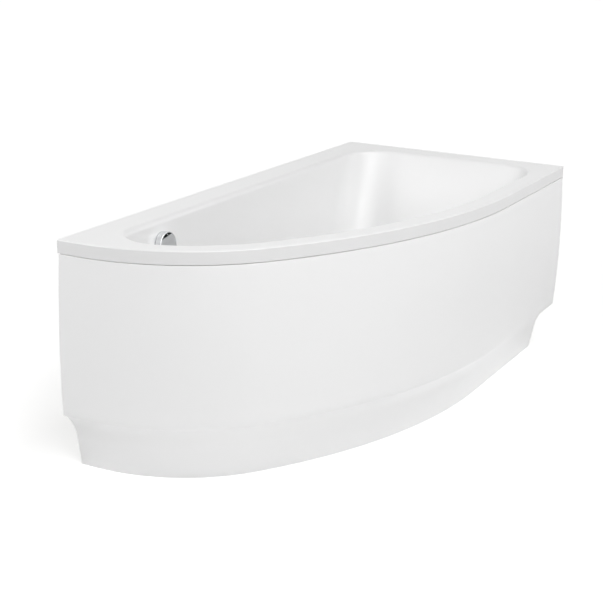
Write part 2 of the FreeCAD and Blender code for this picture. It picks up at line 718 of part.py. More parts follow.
# --- Wall brackets -------------------------------------------------------------------------
def wall_bracket(flange_bottom):
    """Hanging bracket on the long wall at x = 0: the rim's flange stands in its hook."""
    half = BRACKET_WIDTH / 2
    sides = (-half, half)
    shelf = flange_bottom - BRACKET_GAP
    plate = box(sides, (-BRACKET_SKIN, 0), (shelf - BRACKET_DROP, shelf))
    ledge = box(sides, (-BRACKET_HOOK, 0), (shelf - BRACKET_SKIN, shelf))
    hook_front = (-BRACKET_HOOK, BRACKET_SKIN - BRACKET_HOOK)
    hook = box(sides, hook_front, (shelf - BRACKET_SKIN, shelf + BRACKET_HOOK_RISE))
    bracket = plate.fuse([ledge, hook]).removeSplitter()
    for x in (-BRACKET_HOLES / 2, BRACKET_HOLES / 2):
        centre = at(x, PAST, shelf - BRACKET_DROP / 2)
        hole = cylinder(BRACKET_HOLE_RADIUS, BRACKET_SKIN + 2 * PAST, centre, Y_AXIS * -1)
        bracket = bracket.cut(hole)
    return bracket


def long_wall_bracket(x):
    bracket = wall_bracket(RIM_BOTTOM)
    bracket.translate(FreeCAD.Vector(x, 0, 0))
    return bracket


def end_wall_bracket():
    bracket = wall_bracket(HEIGHT - END_FLANGE)
    bracket.rotate(at(0, 0), Z_AXIS, -90)
    bracket.translate(FreeCAD.Vector(0, BRACKET_END_WALL, 0))
    return bracket


# --- Overflow ------------------------------------------------------------------------------
def overflow_cylinder(radius, start, stop):
    """Solid of revolution on the overflow's axis, between two distances from the wall."""
    return cylinder(radius, stop - start, overflow_point(start), overflow_axis())


def overflow_flange():
    """Chrome ring against the inside of the wall, with a neck through it."""
    ring_back, ring_front = OVERFLOW_RING
    ring = overflow_cylinder(KNOB_RADIUS, ring_back, ring_front)
    outer = OVERFLOW_HOLE - NECK_GAP
    neck = overflow_cylinder(outer, -NECK_REACH, ring_front)
    bore = overflow_cylinder(outer - NECK_SKIN, -NECK_REACH - PAST, ring_front + PAST)
    return ring.fuse(neck).cut(bore)


def knob_opening():
    """The opening's cutting shape: a segment of the cap's inside, through its face."""
    inner = KNOB_RADIUS - KNOB_SKIN
    start, stop = KNOB_FRONT - KNOB_SKIN - PAST, KNOB_FRONT + PAST
    rise = FreeCAD.Vector(-1, 0, 0).cross(overflow_axis())
    away = FreeCAD.Rotation(overflow_axis(), KNOB_OPENING_SIDE).multVec(rise)
    half_edge = overflow_axis().cross(away) * inner
    near = overflow_point(start) + away * KNOB_OPENING_EDGE
    far = overflow_point(start) + away * KNOB_RADIUS
    corners = [near - half_edge, near + half_edge, far + half_edge, far - half_edge]
    outline = Part.makePolygon(corners + corners[:1])
    block = Part.Face(outline).extrude(overflow_axis() * (stop - start))
    return overflow_cylinder(inner, start, stop).common(block)


def overflow_knob():
    """Turning cap with an opening in its face for the water, on a spindle."""
    cap = overflow_cylinder(KNOB_RADIUS, KNOB_BACK, KNOB_FRONT)
    face_edges = [
        edge for edge in cap.Edges
        if edge.Closed and edge.CenterOfMass.distanceToPoint(overflow_point(KNOB_FRONT)) < KNOB_SKIN
    ]
    cap = cap.makeFillet(KNOB_EDGE_RADIUS, face_edges)
    inside = overflow_cylinder(KNOB_RADIUS - KNOB_SKIN, KNOB_BACK - PAST, KNOB_FRONT - KNOB_SKIN)
    spindle = overflow_cylinder(SPINDLE_RADIUS, -SPINDLE_BACK, KNOB_FRONT - KNOB_SKIN / 2)
    return cap.cut(inside).cut(knob_opening()).fuse(spindle)


def elbow_centre():
    """Middle of the overflow's plastic body, behind the wall."""
    return overflow_point(ELBOW_FRONT - ELBOW_DEPTH / 2)


def overflow_elbow():
    """Plastic body behind the wall, open towards the bath, with a spigot downwards."""
    back = ELBOW_FRONT - ELBOW_DEPTH
    body = overflow_cylinder(ELBOW_RADIUS, back, ELBOW_FRONT)
    room = overflow_cylinder(ELBOW_ROOM_RADIUS, back + ELBOW_SKIN, ELBOW_FRONT + PAST)
    start = elbow_centre() - Z_AXIS * SPIGOT_START
    spigot = cylinder(SPIGOT_RADIUS, SPIGOT_LENGTH, start, Z_AXIS * -1)
    channel = cylinder(SPIGOT_RADIUS - SPIGOT_SKIN, SPIGOT_LENGTH + PAST, start, Z_AXIS * -1)
    boss = overflow_cylinder(BOSS_RADIUS, back + ELBOW_SKIN / 2, ELBOW_FRONT - BOSS_SET_BACK)
    bore = overflow_cylinder(SPINDLE_RADIUS + SLIDE_FIT, -SPINDLE_BACK - PAST, ELBOW_FRONT + PAST)
    return body.fuse(spigot).cut(room).cut(channel).fuse(boss).cut(bore)


def overflow_seal():
    front = -SKIN - LAYER_GAP
    ring = overflow_cylinder(OVERFLOW_SEAL_RADIUS, front - SEAL, front)
    return ring.cut(overflow_cylinder(OVERFLOW_HOLE + NECK_GAP, front - SEAL - PAST, 0.0))


def overflow_pipe_points():
    top = elbow_centre()
    return [
        FreeCAD.Vector(top.x, top.y, top.z - PIPE_START),
        FreeCAD.Vector(top.x, top.y, PIPE_BEND_Z),
        at(WASTE_X, top.y - Y_WALL, INLET_Z),
        at(WASTE_X, WASTE_Y + PIPE_END, INLET_Z),
    ]


def overflow_pipe():
    return piped(overflow_pipe_points(), PIPE_RADIUS, PIPE_RADIUS - PIPE_SKIN)


def control_cable():
    """Sheathed cable from the overflow body to the lifting gear in the waste body."""
    top = elbow_centre()
    x = top.x - CABLE_SIDE - X_WALL
    y = top.y + CABLE_BACK - Y_WALL
    points = [at(x, y, top.z - CABLE_START)]
    points += [at(x + sideways, y, z) for sideways, z in CABLE_BOWS]
    points.append(at(WASTE_X - CABLE_SIDE, y - CABLE_TURN_IN, GLAND_Z))
    points.append(at(WASTE_X - GLAND_SIDE, WASTE_Y + CABLE_END, GLAND_Z))
    return piped(points, CABLE_RADIUS)


# --- Waste and trap ------------------------------------------------------------------------
def waste_cylinder(radius, low, high):
    return cylinder(radius, high - low, at(WASTE_X, WASTE_Y, low))


def waste_flange():
    """Chrome outlet ring in the floor, with a neck down through it and a stem guide."""
    ring = Part.makeCone(
        WASTE_RING, WASTE_RING - RING_HEIGHT, RING_HEIGHT, at(WASTE_X, WASTE_Y, FLOOR + LAYER_GAP))
    neck = waste_cylinder(WASTE_HOLE - WASTE_NECK_GAP, FLOOR - WASTE_NECK, FLOOR + PAST)
    bore = waste_cylinder(WASTE_BORE, FLOOR - WASTE_NECK - PAST, FLOOR + RING_HEIGHT + PAST)
    spokes = []
    for index in range(3):
        spoke = box(
            (WASTE_X, WASTE_X + WASTE_BORE + PAST),
            (WASTE_Y - SPOKE_WIDTH / 2, WASTE_Y + SPOKE_WIDTH / 2),
            (FLOOR - GUIDE_LOW, FLOOR - GUIDE_LOW + SPOKE_HEIGHT),
        )
        spoke.rotate(at(WASTE_X, WASTE_Y), Z_AXIS, 120 * index + 90)
        spokes.append(spoke)
    hub = waste_cylinder(GUIDE_RADIUS, FLOOR - GUIDE_LOW, FLOOR - GUIDE_LOW + GUIDE_HEIGHT)
    flange = ring.fuse(neck).cut(bore).fuse(spokes + [hub])
    guide = waste_cylinder(SPINDLE_RADIUS + SLIDE_FIT, FLOOR - GUIDE_LOW - PAST, FLOOR)
    return flange.cut(guide).removeSplitter()


def waste_plug():
    """Chrome pop-up cap with its stem."""
    low, high = PLUG_Z
    cap = waste_cylinder(PLUG_RADIUS, FLOOR + low, FLOOR + high)
    cap = cap.makeFillet(PLUG_CROWN, top_edges(cap, FLOOR + high))
    hub = waste_cylinder(PLUG_HUB_RADIUS, FLOOR - PLUG_HUB_DROP, FLOOR + low + PAST / 2)
    stem = waste_cylinder(SPINDLE_RADIUS, FLOOR - STEM_DROP, FLOOR - PLUG_HUB_DROP + PAST)
    return cap.fuse([hub, stem])


def plug_seal():
    low, high = PLUG_SEAL_Z
    base = at(WASTE_X, WASTE_Y, FLOOR + low)
    return tube(PLUG_SEAL_RADIUS, PLUG_HUB_RADIUS + LAYER_GAP, high - low, base)


def waste_gasket():
    low = FLOOR - SKIN - LAYER_GAP - SEAL
    return tube(WASTE_CUP_RADIUS, WASTE_HOLE, SEAL, at(WASTE_X, WASTE_Y, low))


def waste_body():
    """Plastic cup clamped under the floor, with an inlet for the overflow's pipe."""
    top = FLOOR - SKIN - 2 * LAYER_GAP - SEAL
    cup = waste_cylinder(WASTE_CUP_RADIUS, CUP_LOW, top)
    tail = waste_cylinder(TAIL_RADIUS, TAIL_LOW, CUP_LOW + PAST)
    inlet = cylinder(SPIGOT_RADIUS, INLET_LENGTH, at(WASTE_X, WASTE_Y + INLET_START, INLET_Z), Y_AXIS)
    gland_start = at(WASTE_X - GLAND_SIDE, WASTE_Y + GLAND_START, GLAND_Z)
    gland = cylinder(GLAND_RADIUS, GLAND_LENGTH, gland_start, Y_AXIS)
    body = cup.fuse([tail, inlet, gland])
    body = body.cut(waste_cylinder(WASTE_HOLE, CUP_LOW + CUP_FLOOR, top + PAST))
    body = body.cut(
        waste_cylinder(TAIL_RADIUS - TAIL_SKIN, TAIL_LOW - PAST, CUP_LOW + CUP_FLOOR + PAST))
    channel = cylinder(
        SPIGOT_RADIUS - SPIGOT_SKIN, INLET_START + INLET_LENGTH + PAST,
        at(WASTE_X, WASTE_Y, INLET_Z), Y_AXIS)
    return body.cut(channel)


def trap_nut():
    """Union nut between the waste body and the trap."""
    low = TRAP_Z[1] + LAYER_GAP
    high = low + TRAP_NUT_HEIGHT
    nut = waste_cylinder(TRAP_NUT_RADIUS, low, high)
    ribs = []
    for index in range(TRAP_NUT_RIBS):
        rib = box(
            (WASTE_X + TRAP_NUT_RADIUS - PAST, WASTE_X + TRAP_NUT_RADIUS + TRAP_NUT_RIB[0]),
            (WASTE_Y - TRAP_NUT_RIB[1] / 2, WASTE_Y + TRAP_NUT_RIB[1] / 2),
            (low, high),
        )
        rib.rotate(at(WASTE_X, WASTE_Y), Z_AXIS, 360 / TRAP_NUT_RIBS * index)
        ribs.append(rib)
    return nut.fuse(ribs).cut(waste_cylinder(TAIL_RADIUS + LAYER_GAP, low - PAST, high + PAST))


def trap_body():
    """Low bottle trap with its outlet towards the long wall."""
    low, high = TRAP_Z
    bottle = waste_cylinder(TRAP_RADIUS, low, high)
    bottle = bottle.makeFillet(TRAP_EDGE_RADIUS, [edge for edge in bottle.Edges if edge.Closed])
    middle = at(WASTE_X, WASTE_Y, OUTLET_Z)
    spout = cylinder(SPOUT_RADIUS, SPOUT_LENGTH, middle, Y_AXIS)
    trap = bottle.fuse(spout)
    trap = trap.cut(waste_cylinder(TRAP_RADIUS - TRAP_SKIN, low + TRAP_SKIN, high - TRAP_SKIN))
    trap = trap.cut(waste_cylinder(TAIL_RADIUS + LAYER_GAP, high - TRAP_SKIN - PAST, high + PAST))
    return trap.cut(cylinder(OUTLET_NECK + LAYER_GAP, SPOUT_LENGTH + PAST, middle, Y_AXIS))


def trap_cap():
    """Cleaning cap under the trap, with a finger ridge across it."""
    high = TRAP_Z[0] - LAYER_GAP
    low = high - TRAP_CAP_HEIGHT
    cap = waste_cylinder(TRAP_CAP_RADIUS, low, high)
    half_length, half_width, drop = TRAP_CAP_RIDGE
    ridge = box(
        (WASTE_X - half_length, WASTE_X + half_length),
        (WASTE_Y - half_width, WASTE_Y + half_width),
        (low - drop, low + PAST),
    )
    return cap.fuse(ridge)


def outlet_pipe():
    """Spigot that the house's waste pipe pushes on to, with a thinner neck in the trap's nut."""
    start = WASTE_Y + TRAP_RADIUS + OUTLET_START
    free_start = OUTLET_END_Y - OUTLET_FREE
    neck = cylinder(OUTLET_NECK, free_start - start, at(WASTE_X, start, OUTLET_Z), Y_AXIS)
    free = cylinder(OUTLET_RADIUS, OUTLET_FREE, at(WASTE_X, free_start, OUTLET_Z), Y_AXIS)
    bore = cylinder(OUTLET_NECK - OUTLET_SKIN, OUTLET_END_Y - start + 2 * PAST,
                    at(WASTE_X, start - PAST, OUTLET_Z), Y_AXIS)
    return neck.fuse(free).cut(bore)


def outlet_nut():
    start = at(WASTE_X, WASTE_Y + OUTLET_NUT_START, OUTLET_Z)
    nut = cylinder(OUTLET_NUT_RADIUS, OUTLET_NUT_LENGTH, start, Y_AXIS)
    over_spout = SPOUT_LENGTH + LAYER_GAP - OUTLET_NUT_START
    nut = nut.cut(cylinder(SPOUT_RADIUS + LAYER_GAP, over_spout, start, Y_AXIS))
    return nut.cut(cylinder(OUTLET_NECK + LAYER_GAP, OUTLET_NUT_LENGTH + PAST, start, Y_AXIS))


# --- Write the pieces ----------------------------------------------------------------------
def main():
    os.makedirs("parts", exist_ok=True)
    save("bath_shell", bath_shell())
    save("shell_reinforcement", shell_reinforcement())
    save("base_board", base_board())
    save("front_panel", front_panel())
    save("panel_clips", panel_clips())
    save("panel_floor_brackets", panel_floor_brackets())
    save("leg_rail_wide_end", leg_rail(RAIL_WIDE_X))
    save("leg_rail_narrow_end", leg_rail(RAIL_NARROW_X))
    save("rail_screws", rail_screws())
    save("rod_nuts", rod_nuts())
    for name, x, y in FEET:
        save("foot_rod_" + name, foot_rod(x, y))
        save("foot_pad_" + name, foot_pad(x, y))
    save("wall_bracket_wide_end", long_wall_bracket(BRACKET_LONG_WALL[0]))
    save("wall_bracket_narrow_end", long_wall_bracket(BRACKET_LONG_WALL[1]))
    save("wall_bracket_end_wall", end_wall_bracket())
    save("overflow_flange", overflow_flange())
    save("overflow_knob", overflow_knob())
    save("overflow_elbow", overflow_elbow())
    save("overflow_seal", overflow_seal())
    save("overflow_pipe", overflow_pipe())
    save("control_cable", control_cable())
    save("waste_flange", waste_flange())
    save("waste_plug", waste_plug())
    save("plug_seal", plug_seal())
    save("waste_gasket", waste_gasket())
    save("waste_body", waste_body())
    save("trap_nut", trap_nut())
    save("trap_body", trap_body())
    save("trap_cap", trap_cap())
    save("outlet_pipe", outlet_pipe())
    save("outlet_nut", outlet_nut())


if __name__ == "__main__":
    main()
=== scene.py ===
"""Asymmetric corner bathtub: smooth shells, small made pieces, finishes, studio and camera."""

import json
import logging
import math
from collections.abc import Iterable, Sequence
from dataclasses import dataclass, field
from enum import Enum

import bmesh
import bpy
from mathutils import Matrix, Vector, noise


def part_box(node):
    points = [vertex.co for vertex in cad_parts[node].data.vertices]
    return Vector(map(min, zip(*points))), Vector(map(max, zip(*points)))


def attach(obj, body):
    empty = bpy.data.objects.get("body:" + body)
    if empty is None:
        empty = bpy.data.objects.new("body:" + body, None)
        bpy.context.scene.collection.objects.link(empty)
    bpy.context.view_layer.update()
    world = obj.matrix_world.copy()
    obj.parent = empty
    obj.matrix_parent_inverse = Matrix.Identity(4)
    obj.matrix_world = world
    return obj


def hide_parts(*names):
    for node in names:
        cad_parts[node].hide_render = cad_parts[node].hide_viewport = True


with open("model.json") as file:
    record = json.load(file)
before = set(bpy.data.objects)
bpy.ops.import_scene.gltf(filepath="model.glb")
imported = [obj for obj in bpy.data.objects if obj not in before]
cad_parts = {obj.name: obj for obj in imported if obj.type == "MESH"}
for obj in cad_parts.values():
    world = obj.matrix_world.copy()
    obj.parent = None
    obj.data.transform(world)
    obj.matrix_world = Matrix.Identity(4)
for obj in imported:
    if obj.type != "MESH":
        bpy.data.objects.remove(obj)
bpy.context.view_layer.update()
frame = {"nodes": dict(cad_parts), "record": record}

LOG = logging.getLogger("corner_bathtub")
MM = 0.001

Colour = tuple[float, float, float]
Point = tuple[float, float, float]
Profile = list[tuple[float, float]]
Ring = list[bmesh.types.BMVert]
UP = Vector((0.0, 0.0, 1.0))
ALONG_X = Vector((1.0, 0.0, 0.0))
ALONG_Y = Vector((0.0, 1.0, 0.0))
EVEN: Point = (1.0, 1.0, 1.0)
WHITE: Colour = (1.0, 1.0, 1.0)
CREASE = 32.0


class Slot(Enum):
    """The record's material slots."""

    ACRYLIC = "acrylic_white"
    GLASS_FIBRE = "glass_fibre"
    CHIPBOARD = "chipboard"
    ZINC_STEEL = "zinc_steel"
    SPRING_STEEL = "spring_steel"
    FASTENERS = "zinc_fasteners"
    CHROME = "chrome"
    RUBBER = "black_rubber"
    BLACK_PLASTIC = "black_plastic"
    SHEATH = "black_sheath"
    POLYPROPYLENE = "white_polypropylene"


class Body(Enum):
    """The bodies that pieces move with."""

    BATH = "bath"
    PANEL = "panel"
    KNOB = "knob"
    PLUG = "plug"
    WIDE_BACK = "foot_wide_back"
    WIDE_FRONT = "foot_wide_front"
    NARROW_BACK = "foot_narrow_back"
    NARROW_FRONT = "foot_narrow_front"


# --- Shader wiring ---------------------------------------------------------------------------
class Graph:
    """A hand that adds and wires the nodes of one shader tree, from left to right."""

    STEP = 210.0
    RANGE = ("From Min", "From Max", "To Min", "To Max")
    # A mix node's inputs for colours (share, first, second) and its output for them.
    MIX_INPUTS = (0, 6, 7)
    MIX_RESULT = 2

    def __init__(self, tree: bpy.types.NodeTree) -> None:
        """Start on an empty tree.

        Args:
            tree: The material's, world's or group's node tree.
        """
        self.tree = tree
        self.tree.nodes.clear()

    def add(self, kind: str, **settings: object) -> bpy.types.Node:
        """Add a node.

        Args:
            kind: Blender's type name of the node.
            **settings: Attributes to set on the node.

        Returns:
            The new node.
        """
        node = self.tree.nodes.new(kind)
        node.location = (self.STEP * (len(self.tree.nodes) - 1), 0.0)
        for name, value in settings.items():
            setattr(node, name, value)
        return node

    def link(self, source: bpy.types.NodeSocket, target: bpy.types.NodeSocket) -> None:
        """Join an output to an input."""
        self.tree.links.new(source, target)

    def feed(self, entry: bpy.types.NodeSocket, value: object) -> None:
        """Give an input its value.

        Args:
            entry: The input.
            value: An output to join it to, a colour or a number.
        """
        if isinstance(value, bpy.types.NodeSocket):
            self.link(value, entry)
        else:
            entry.default_value = (*value, 1.0) if isinstance(value, tuple) else value

    def math(self, operation: str, first: object, second: object) -> bpy.types.NodeSocket:
        """Add a math node.

        Args:
            operation: Blender's name of the operation.
            first: A socket or a number.
            second: A socket or a number.

        Returns:
            The node's output.
        """
        node = self.add("ShaderNodeMath", operation=operation)
        self.feed(node.inputs[0], first)
        self.feed(node.inputs[1], second)
        return node.outputs[0]

    def remap(self, value: bpy.types.NodeSocket, *limits: object) -> bpy.types.NodeSocket:
        """Stretch one range of values over another.

        Args:
            value: The value.
            *limits: Where each range starts and ends, as four numbers or sockets.

        Returns:
            The new value's output.
        """
        node = self.add("ShaderNodeMapRange")
        self.link(value, node.inputs["Value"])
        for name, limit in zip(self.RANGE, limits, strict=True):
            self.feed(node.inputs[name], limit)
        return node.outputs["Result"]

    def place(self, stretch: Point = EVEN) -> bpy.types.NodeSocket:
        """The piece's own coordinates, stretched.

        Args:
            stretch: Factors on the three coordinates.

        Returns:
            The coordinates' output.
        """
        coordinates = self.add("ShaderNodeTexCoord").outputs["Object"]
        if stretch == EVEN:
            return coordinates
        mapping = self.add("ShaderNodeMapping")
        mapping.inputs["Scale"].default_value = stretch
        self.link(coordinates, mapping.inputs["Vector"])
        return mapping.outputs["Vector"]

    def noise(self, scale: object, detail: float, stretch: Point = EVEN) -> bpy.types.NodeSocket:
        """Add a noise texture on the piece's own coordinates.

        Args:
            scale: Cells per metre, as a number or a socket.
            detail: Octaves of the noise.
            stretch: Factors on the three coordinates.

        Returns:
            The noise's value.
        """
        node = self.add("ShaderNodeTexNoise")
        node.inputs["Detail"].default_value = detail
        self.link(self.place(stretch), node.inputs["Vector"])
        self.feed(node.inputs["Scale"], scale)
        return node.outputs["Fac"]

    def cells(self, scale: float, stretch: Point = EVEN) -> tuple[bpy.types.NodeSocket, ...]:
        """Add cells, each with a tone of its own.

        Args:
            scale: Cells per metre.
            stretch: Factors on the three coordinates.

        Returns:
            Each cell's tone, and the distance from its middle.
        """
        node = self.add("ShaderNodeTexVoronoi", feature="F1")
        node.inputs["Scale"].default_value = scale
        self.link(self.place(stretch), node.inputs["Vector"])
        tone = self.add("ShaderNodeSeparateColor")
        self.link(node.outputs["Color"], tone.inputs["Color"])
        return tone.outputs["Red"], node.outputs["Distance"]

    def ramp(
        self, source: bpy.types.NodeSocket, stops: Sequence[tuple[float, Colour]]
    ) -> bpy.types.NodeSocket:
        """Add a colour ramp.

        Args:
            source: The value that runs along the ramp.
            stops: Positions and colours, in order.

        Returns:
            The ramp's colour output.
        """
        node = self.add("ShaderNodeValToRGB")
        elements = node.color_ramp.elements
        while len(elements) < len(stops):
            elements.new(0.5)
        for element, (position, colour) in zip(elements, stops):
            element.position = position
            element.color = (*colour, 1.0)
        self.link(source, node.inputs["Fac"])
        return node.outputs["Color"]

    def blend(self, share: bpy.types.NodeSocket, first: object, second: object) -> bpy.types.NodeSocket:
        """Mix two colours.

        Args:
            share: How much of the second colour shows.
            first: A colour or a colour's socket.
            second: A colour or a colour's socket.

        Returns:
            The mixed colour's output.
        """
        node = self.add("ShaderNodeMix", data_type="RGBA")
        for index, value in zip(self.MIX_INPUTS, (share, first, second)):
            self.feed(node.inputs[index], value)
        return node.outputs[self.MIX_RESULT]

    def bump(self, height: bpy.types.NodeSocket, depth: object) -> bpy.types.NodeSocket:
        """Turn a height into a normal.

        Args:
            height: The height, from 0 to 1.
            depth: What a height of 1 stands for, in metres, as a number or a socket.

        Returns:
            The normal's output.
        """
        node = self.add("ShaderNodeBump")
        self.link(height, node.inputs["Height"])
        self.feed(node.inputs["Distance"], depth)
        return node.outputs["Normal"]

    def effect(self, tree: bpy.types.NodeTree, **values: object) -> bpy.types.NodeSocket:
        """Place a shared effect.

        Args:
            tree: The effect's node group.
            **values: Values or sources of its inputs, by name.

        Returns:
            The effect's only output.
        """
        node = self.add("ShaderNodeGroup", node_tree=tree)
        for name, value in values.items():
            self.feed(node.inputs[name], value)
        return node.outputs[0]


# --- Shared effects --------------------------------------------------------------------------
class SharedEffects:
    """Node groups that several finishes use. Each is built once, and has one output."""

    # What most of a noise's values lie between, and how bent a rubbed edge is.
    NOISE_RANGE = (0.3, 0.7)
    BENT_RANGE = (0.52, 0.62)
    RUBBED_CELLS = 120.0
    DUST: Colour = (0.55, 0.53, 0.49)
    DUST_CELLS = 22.0

    _built: dict[str, bpy.types.NodeTree] = {}

    @classmethod
    def _start(
        cls, name: str, inputs: dict[str, float | Colour], kind: str
    ) -> tuple[Graph, dict[str, bpy.types.NodeSocket]]:
        """Make an empty group with its sockets.

        Args:
            name: The group's name.
            inputs: Input names with their default values. A tuple makes a colour socket.
            kind: The output's socket type.

        Returns:
            A graph on the group's tree, and its inputs by name.
        """
        tree = bpy.data.node_groups.new(name, "ShaderNodeTree")
        for label, value in inputs.items():
            colour = isinstance(value, tuple)
            sort = "NodeSocketColor" if colour else "NodeSocketFloat"
            socket = tree.interface.new_socket(label, in_out="INPUT", socket_type=sort)
            socket.default_value = (*value, 1.0) if colour else value
        tree.interface.new_socket("Result", in_out="OUTPUT", socket_type=kind)
        graph = Graph(tree)
        entry = graph.add("NodeGroupInput")
        cls._built[name] = tree
        return graph, {label: entry.outputs[label] for label in inputs}

    @staticmethod
    def _leave(graph: Graph, result: bpy.types.NodeSocket) -> None:
        """Wire a group's result to its output."""
        graph.link(result, graph.add("NodeGroupOutput").inputs[0])

    @classmethod
    def uneven(cls) -> bpy.types.NodeTree:
        """A value that wanders between two limits, for roughness.

        Returns:
            The group's tree, with inputs Scale, Low and High.
        """
        if "uneven" not in cls._built:
            inputs = {"Scale": 8.0, "Low": 0.2, "High": 0.3}
            graph, entry = cls._start("uneven", inputs, "NodeSocketFloat")
            cloud = graph.noise(entry["Scale"], detail=4.0)
            cls._leave(graph, graph.remap(cloud, *cls.NOISE_RANGE, entry["Low"], entry["High"]))
        return cls._built["uneven"]

    @classmethod
    def tint(cls) -> bpy.types.NodeTree:
        """A colour that drifts towards a second one in soft patches.

        Returns:
            The group's tree, with inputs Colour, Other and Scale.
        """
        if "tint" not in cls._built:
            inputs = {"Colour": (0.8, 0.8, 0.8), "Other": (0.7, 0.7, 0.7), "Scale": 4.0}
            graph, entry = cls._start("tint", inputs, "NodeSocketColor")
            patches = graph.noise(entry["Scale"], detail=5.0)
            cls._leave(graph, graph.blend(patches, entry["Colour"], entry["Other"]))
        return cls._built["tint"]

    @classmethod
    def fine_relief(cls) -> bpy.types.NodeTree:
        """A fine bump, as of a mould's or a drawn tube's skin.

        Returns:
            The group's tree, with inputs Scale and Depth.
        """
        if "fine_relief" not in cls._built:
            inputs = {"Scale": 300.0, "Depth": 0.00002}
            graph, entry = cls._start("fine_relief", inputs, "NodeSocketVector")
            cls._leave(graph, graph.bump(graph.noise(entry["Scale"], detail=2.0), entry["Depth"]))
        return cls._built["fine_relief"]

    @classmethod
    def settled_dust(cls) -> bpy.types.NodeTree:
        """A colour that dust greys a little on faces that look up.

        Returns:
            The group's tree, with inputs Colour and Amount.
        """
        if "settled_dust" not in cls._built:
            inputs = {"Colour": (0.5, 0.5, 0.5), "Amount": 0.3}
            graph, entry = cls._start("settled_dust", inputs, "NodeSocketColor")
            facing = graph.add("ShaderNodeSeparateXYZ")
            graph.link(graph.add("ShaderNodeNewGeometry").outputs["Normal"], facing.inputs[0])
            upward = graph.math("MAXIMUM", facing.outputs["Z"], 0.0)
            patches = graph.math("MULTIPLY", upward, graph.noise(cls.DUST_CELLS, detail=5.0))
            cover = graph.math("MULTIPLY", patches, entry["Amount"])
            cls._leave(graph, graph.blend(cover, entry["Colour"], cls.DUST))
        return cls._built["settled_dust"]

    @classmethod
    def worn_edges(cls) -> bpy.types.NodeTree:
        """A colour that shows a second one where the surface is sharply bent outwards.

        Returns:
            The group's tree, with inputs Colour, Worn and Amount.
        """
        if "worn_edges" not in cls._built:
            inputs = {"Colour": (0.5, 0.5, 0.5), "Worn": (0.7, 0.7, 0.7), "Amount": 0.5}
            graph, entry = cls._start("worn_edges", inputs, "NodeSocketColor")
            pointed = graph.add("ShaderNodeNewGeometry").outputs["Pointiness"]
            bent = graph.remap(pointed, *cls.BENT_RANGE, 0.0, 1.0)
            rubbed = graph.math("MULTIPLY", bent, graph.noise(cls.RUBBED_CELLS, detail=4.0))
            share = graph.math("MULTIPLY", rubbed, entry["Amount"])
            cls._leave(graph, graph.blend(share, entry["Colour"], entry["Worn"]))
        return cls._built["worn_edges"]


# --- Finishes --------------------------------------------------------------------------------
def lighter(colour: Colour, gain: float, lift: float = 0.0) -> Colour:
    """A colour made lighter, as far as white."""
    return tuple(min(1.0, value * gain + lift) for value in colour)


@dataclass(frozen=True)
class Finish:
    """What every finish has: two close colours, and a roughness and a relief that wander."""

    RUBBED = (1.25, 0.03)
    FINER = 3.0

    name: str
    colour: Colour
    other: Colour
    low: float
    high: float
    patch: float = 4.0
    grain: float = 300.0
    depth: float = 0.01 * MM
    dust: float = 0.0
    worn: float = 0.0

    def tones(self, graph: Graph) -> bpy.types.NodeSocket:
        """The colour before wear and dust. The plain finish drifts between its two colours."""
        return graph.effect(
            SharedEffects.tint(), Colour=self.colour, Other=self.other, Scale=self.patch)

    def relief(self, graph: Graph) -> bpy.types.NodeSocket:
        """The normal. The plain finish has a fine grain."""
        return graph.effect(SharedEffects.fine_relief(), Scale=self.grain, Depth=self.depth)

    def constants(self, shader: bpy.types.Node) -> None:
        """Set what is the same all over the surface. The plain finish sets nothing."""

    def material(self) -> bpy.types.Material:
        """Build the material.

        Returns:
            The finished material.
        """
        material = bpy.data.materials.new(self.name)
        material.use_nodes = True
        graph = Graph(material.node_tree)
        colour = self.tones(graph)
        if self.worn > 0.0:
            paler = lighter(self.colour, *self.RUBBED)
            colour = graph.effect(
                SharedEffects.worn_edges(), Colour=colour, Worn=paler, Amount=self.worn)
        if self.dust > 0.0:
            colour = graph.effect(SharedEffects.settled_dust(), Colour=colour, Amount=self.dust)
        roughness = graph.effect(
            SharedEffects.uneven(), Scale=self.patch * self.FINER, Low=self.low, High=self.high)
        shader = graph.add("ShaderNodeBsdfPrincipled")
        graph.link(colour, shader.inputs["Base Color"])
        graph.link(roughness, shader.inputs["Roughness"])
        graph.link(self.relief(graph), shader.inputs["Normal"])
        self.constants(shader)
        graph.link(shader.outputs["BSDF"], graph.add("ShaderNodeOutputMaterial").inputs["Surface"])
        return material


@dataclass(frozen=True)
class PolishedAcrylic(Finish):
    """White sanitary acrylic: a clear gloss over solid white.

    Where the mesh marks the skirt's outer face, the white is mixed towards grey: painted shade.
    """

    # Painted shade: the grey that the skirt's outer face is painted with.
    painted_shade: Colour = (0.81, 0.81, 0.81)
    refraction: float = 1.49
    gloss: float = 0.6
    gloss_blur: float = 0.3

    def tones(self, graph: Graph) -> bpy.types.NodeSocket:
        """The white, mixed towards the painted shade's grey where the mesh marks the skirt's outer
        face.
        """
        white = super().tones(graph)
        painted_shade = graph.add("ShaderNodeAttribute", attribute_name=AcrylicShell.PAINTED_SHADE)
        return graph.blend(painted_shade.outputs["Fac"], white, self.painted_shade)

    def constants(self, shader: bpy.types.Node) -> None:
        """Add the clear gloss."""
        shader.inputs["IOR"].default_value = self.refraction
        shader.inputs["Coat Weight"].default_value = self.gloss
        shader.inputs["Coat Roughness"].default_value = self.gloss_blur


@dataclass(frozen=True)
class Metal(Finish):
    """Plated or bare metal."""

    def constants(self, shader: bpy.types.Node) -> None:
        """Make it metal."""
        shader.inputs["Metallic"].default_value = 1.0


@dataclass(frozen=True)
class SpangledZinc(Metal):
    """Galvanised steel with the crystals of its zinc."""

    crystals: float = 90.0

    def tones(self, graph: Graph) -> bpy.types.NodeSocket:
        """Vary the colour from crystal to crystal."""
        tone, _ = graph.cells(self.crystals)
        return graph.ramp(tone, ((0.1, self.other), (0.9, self.colour)))


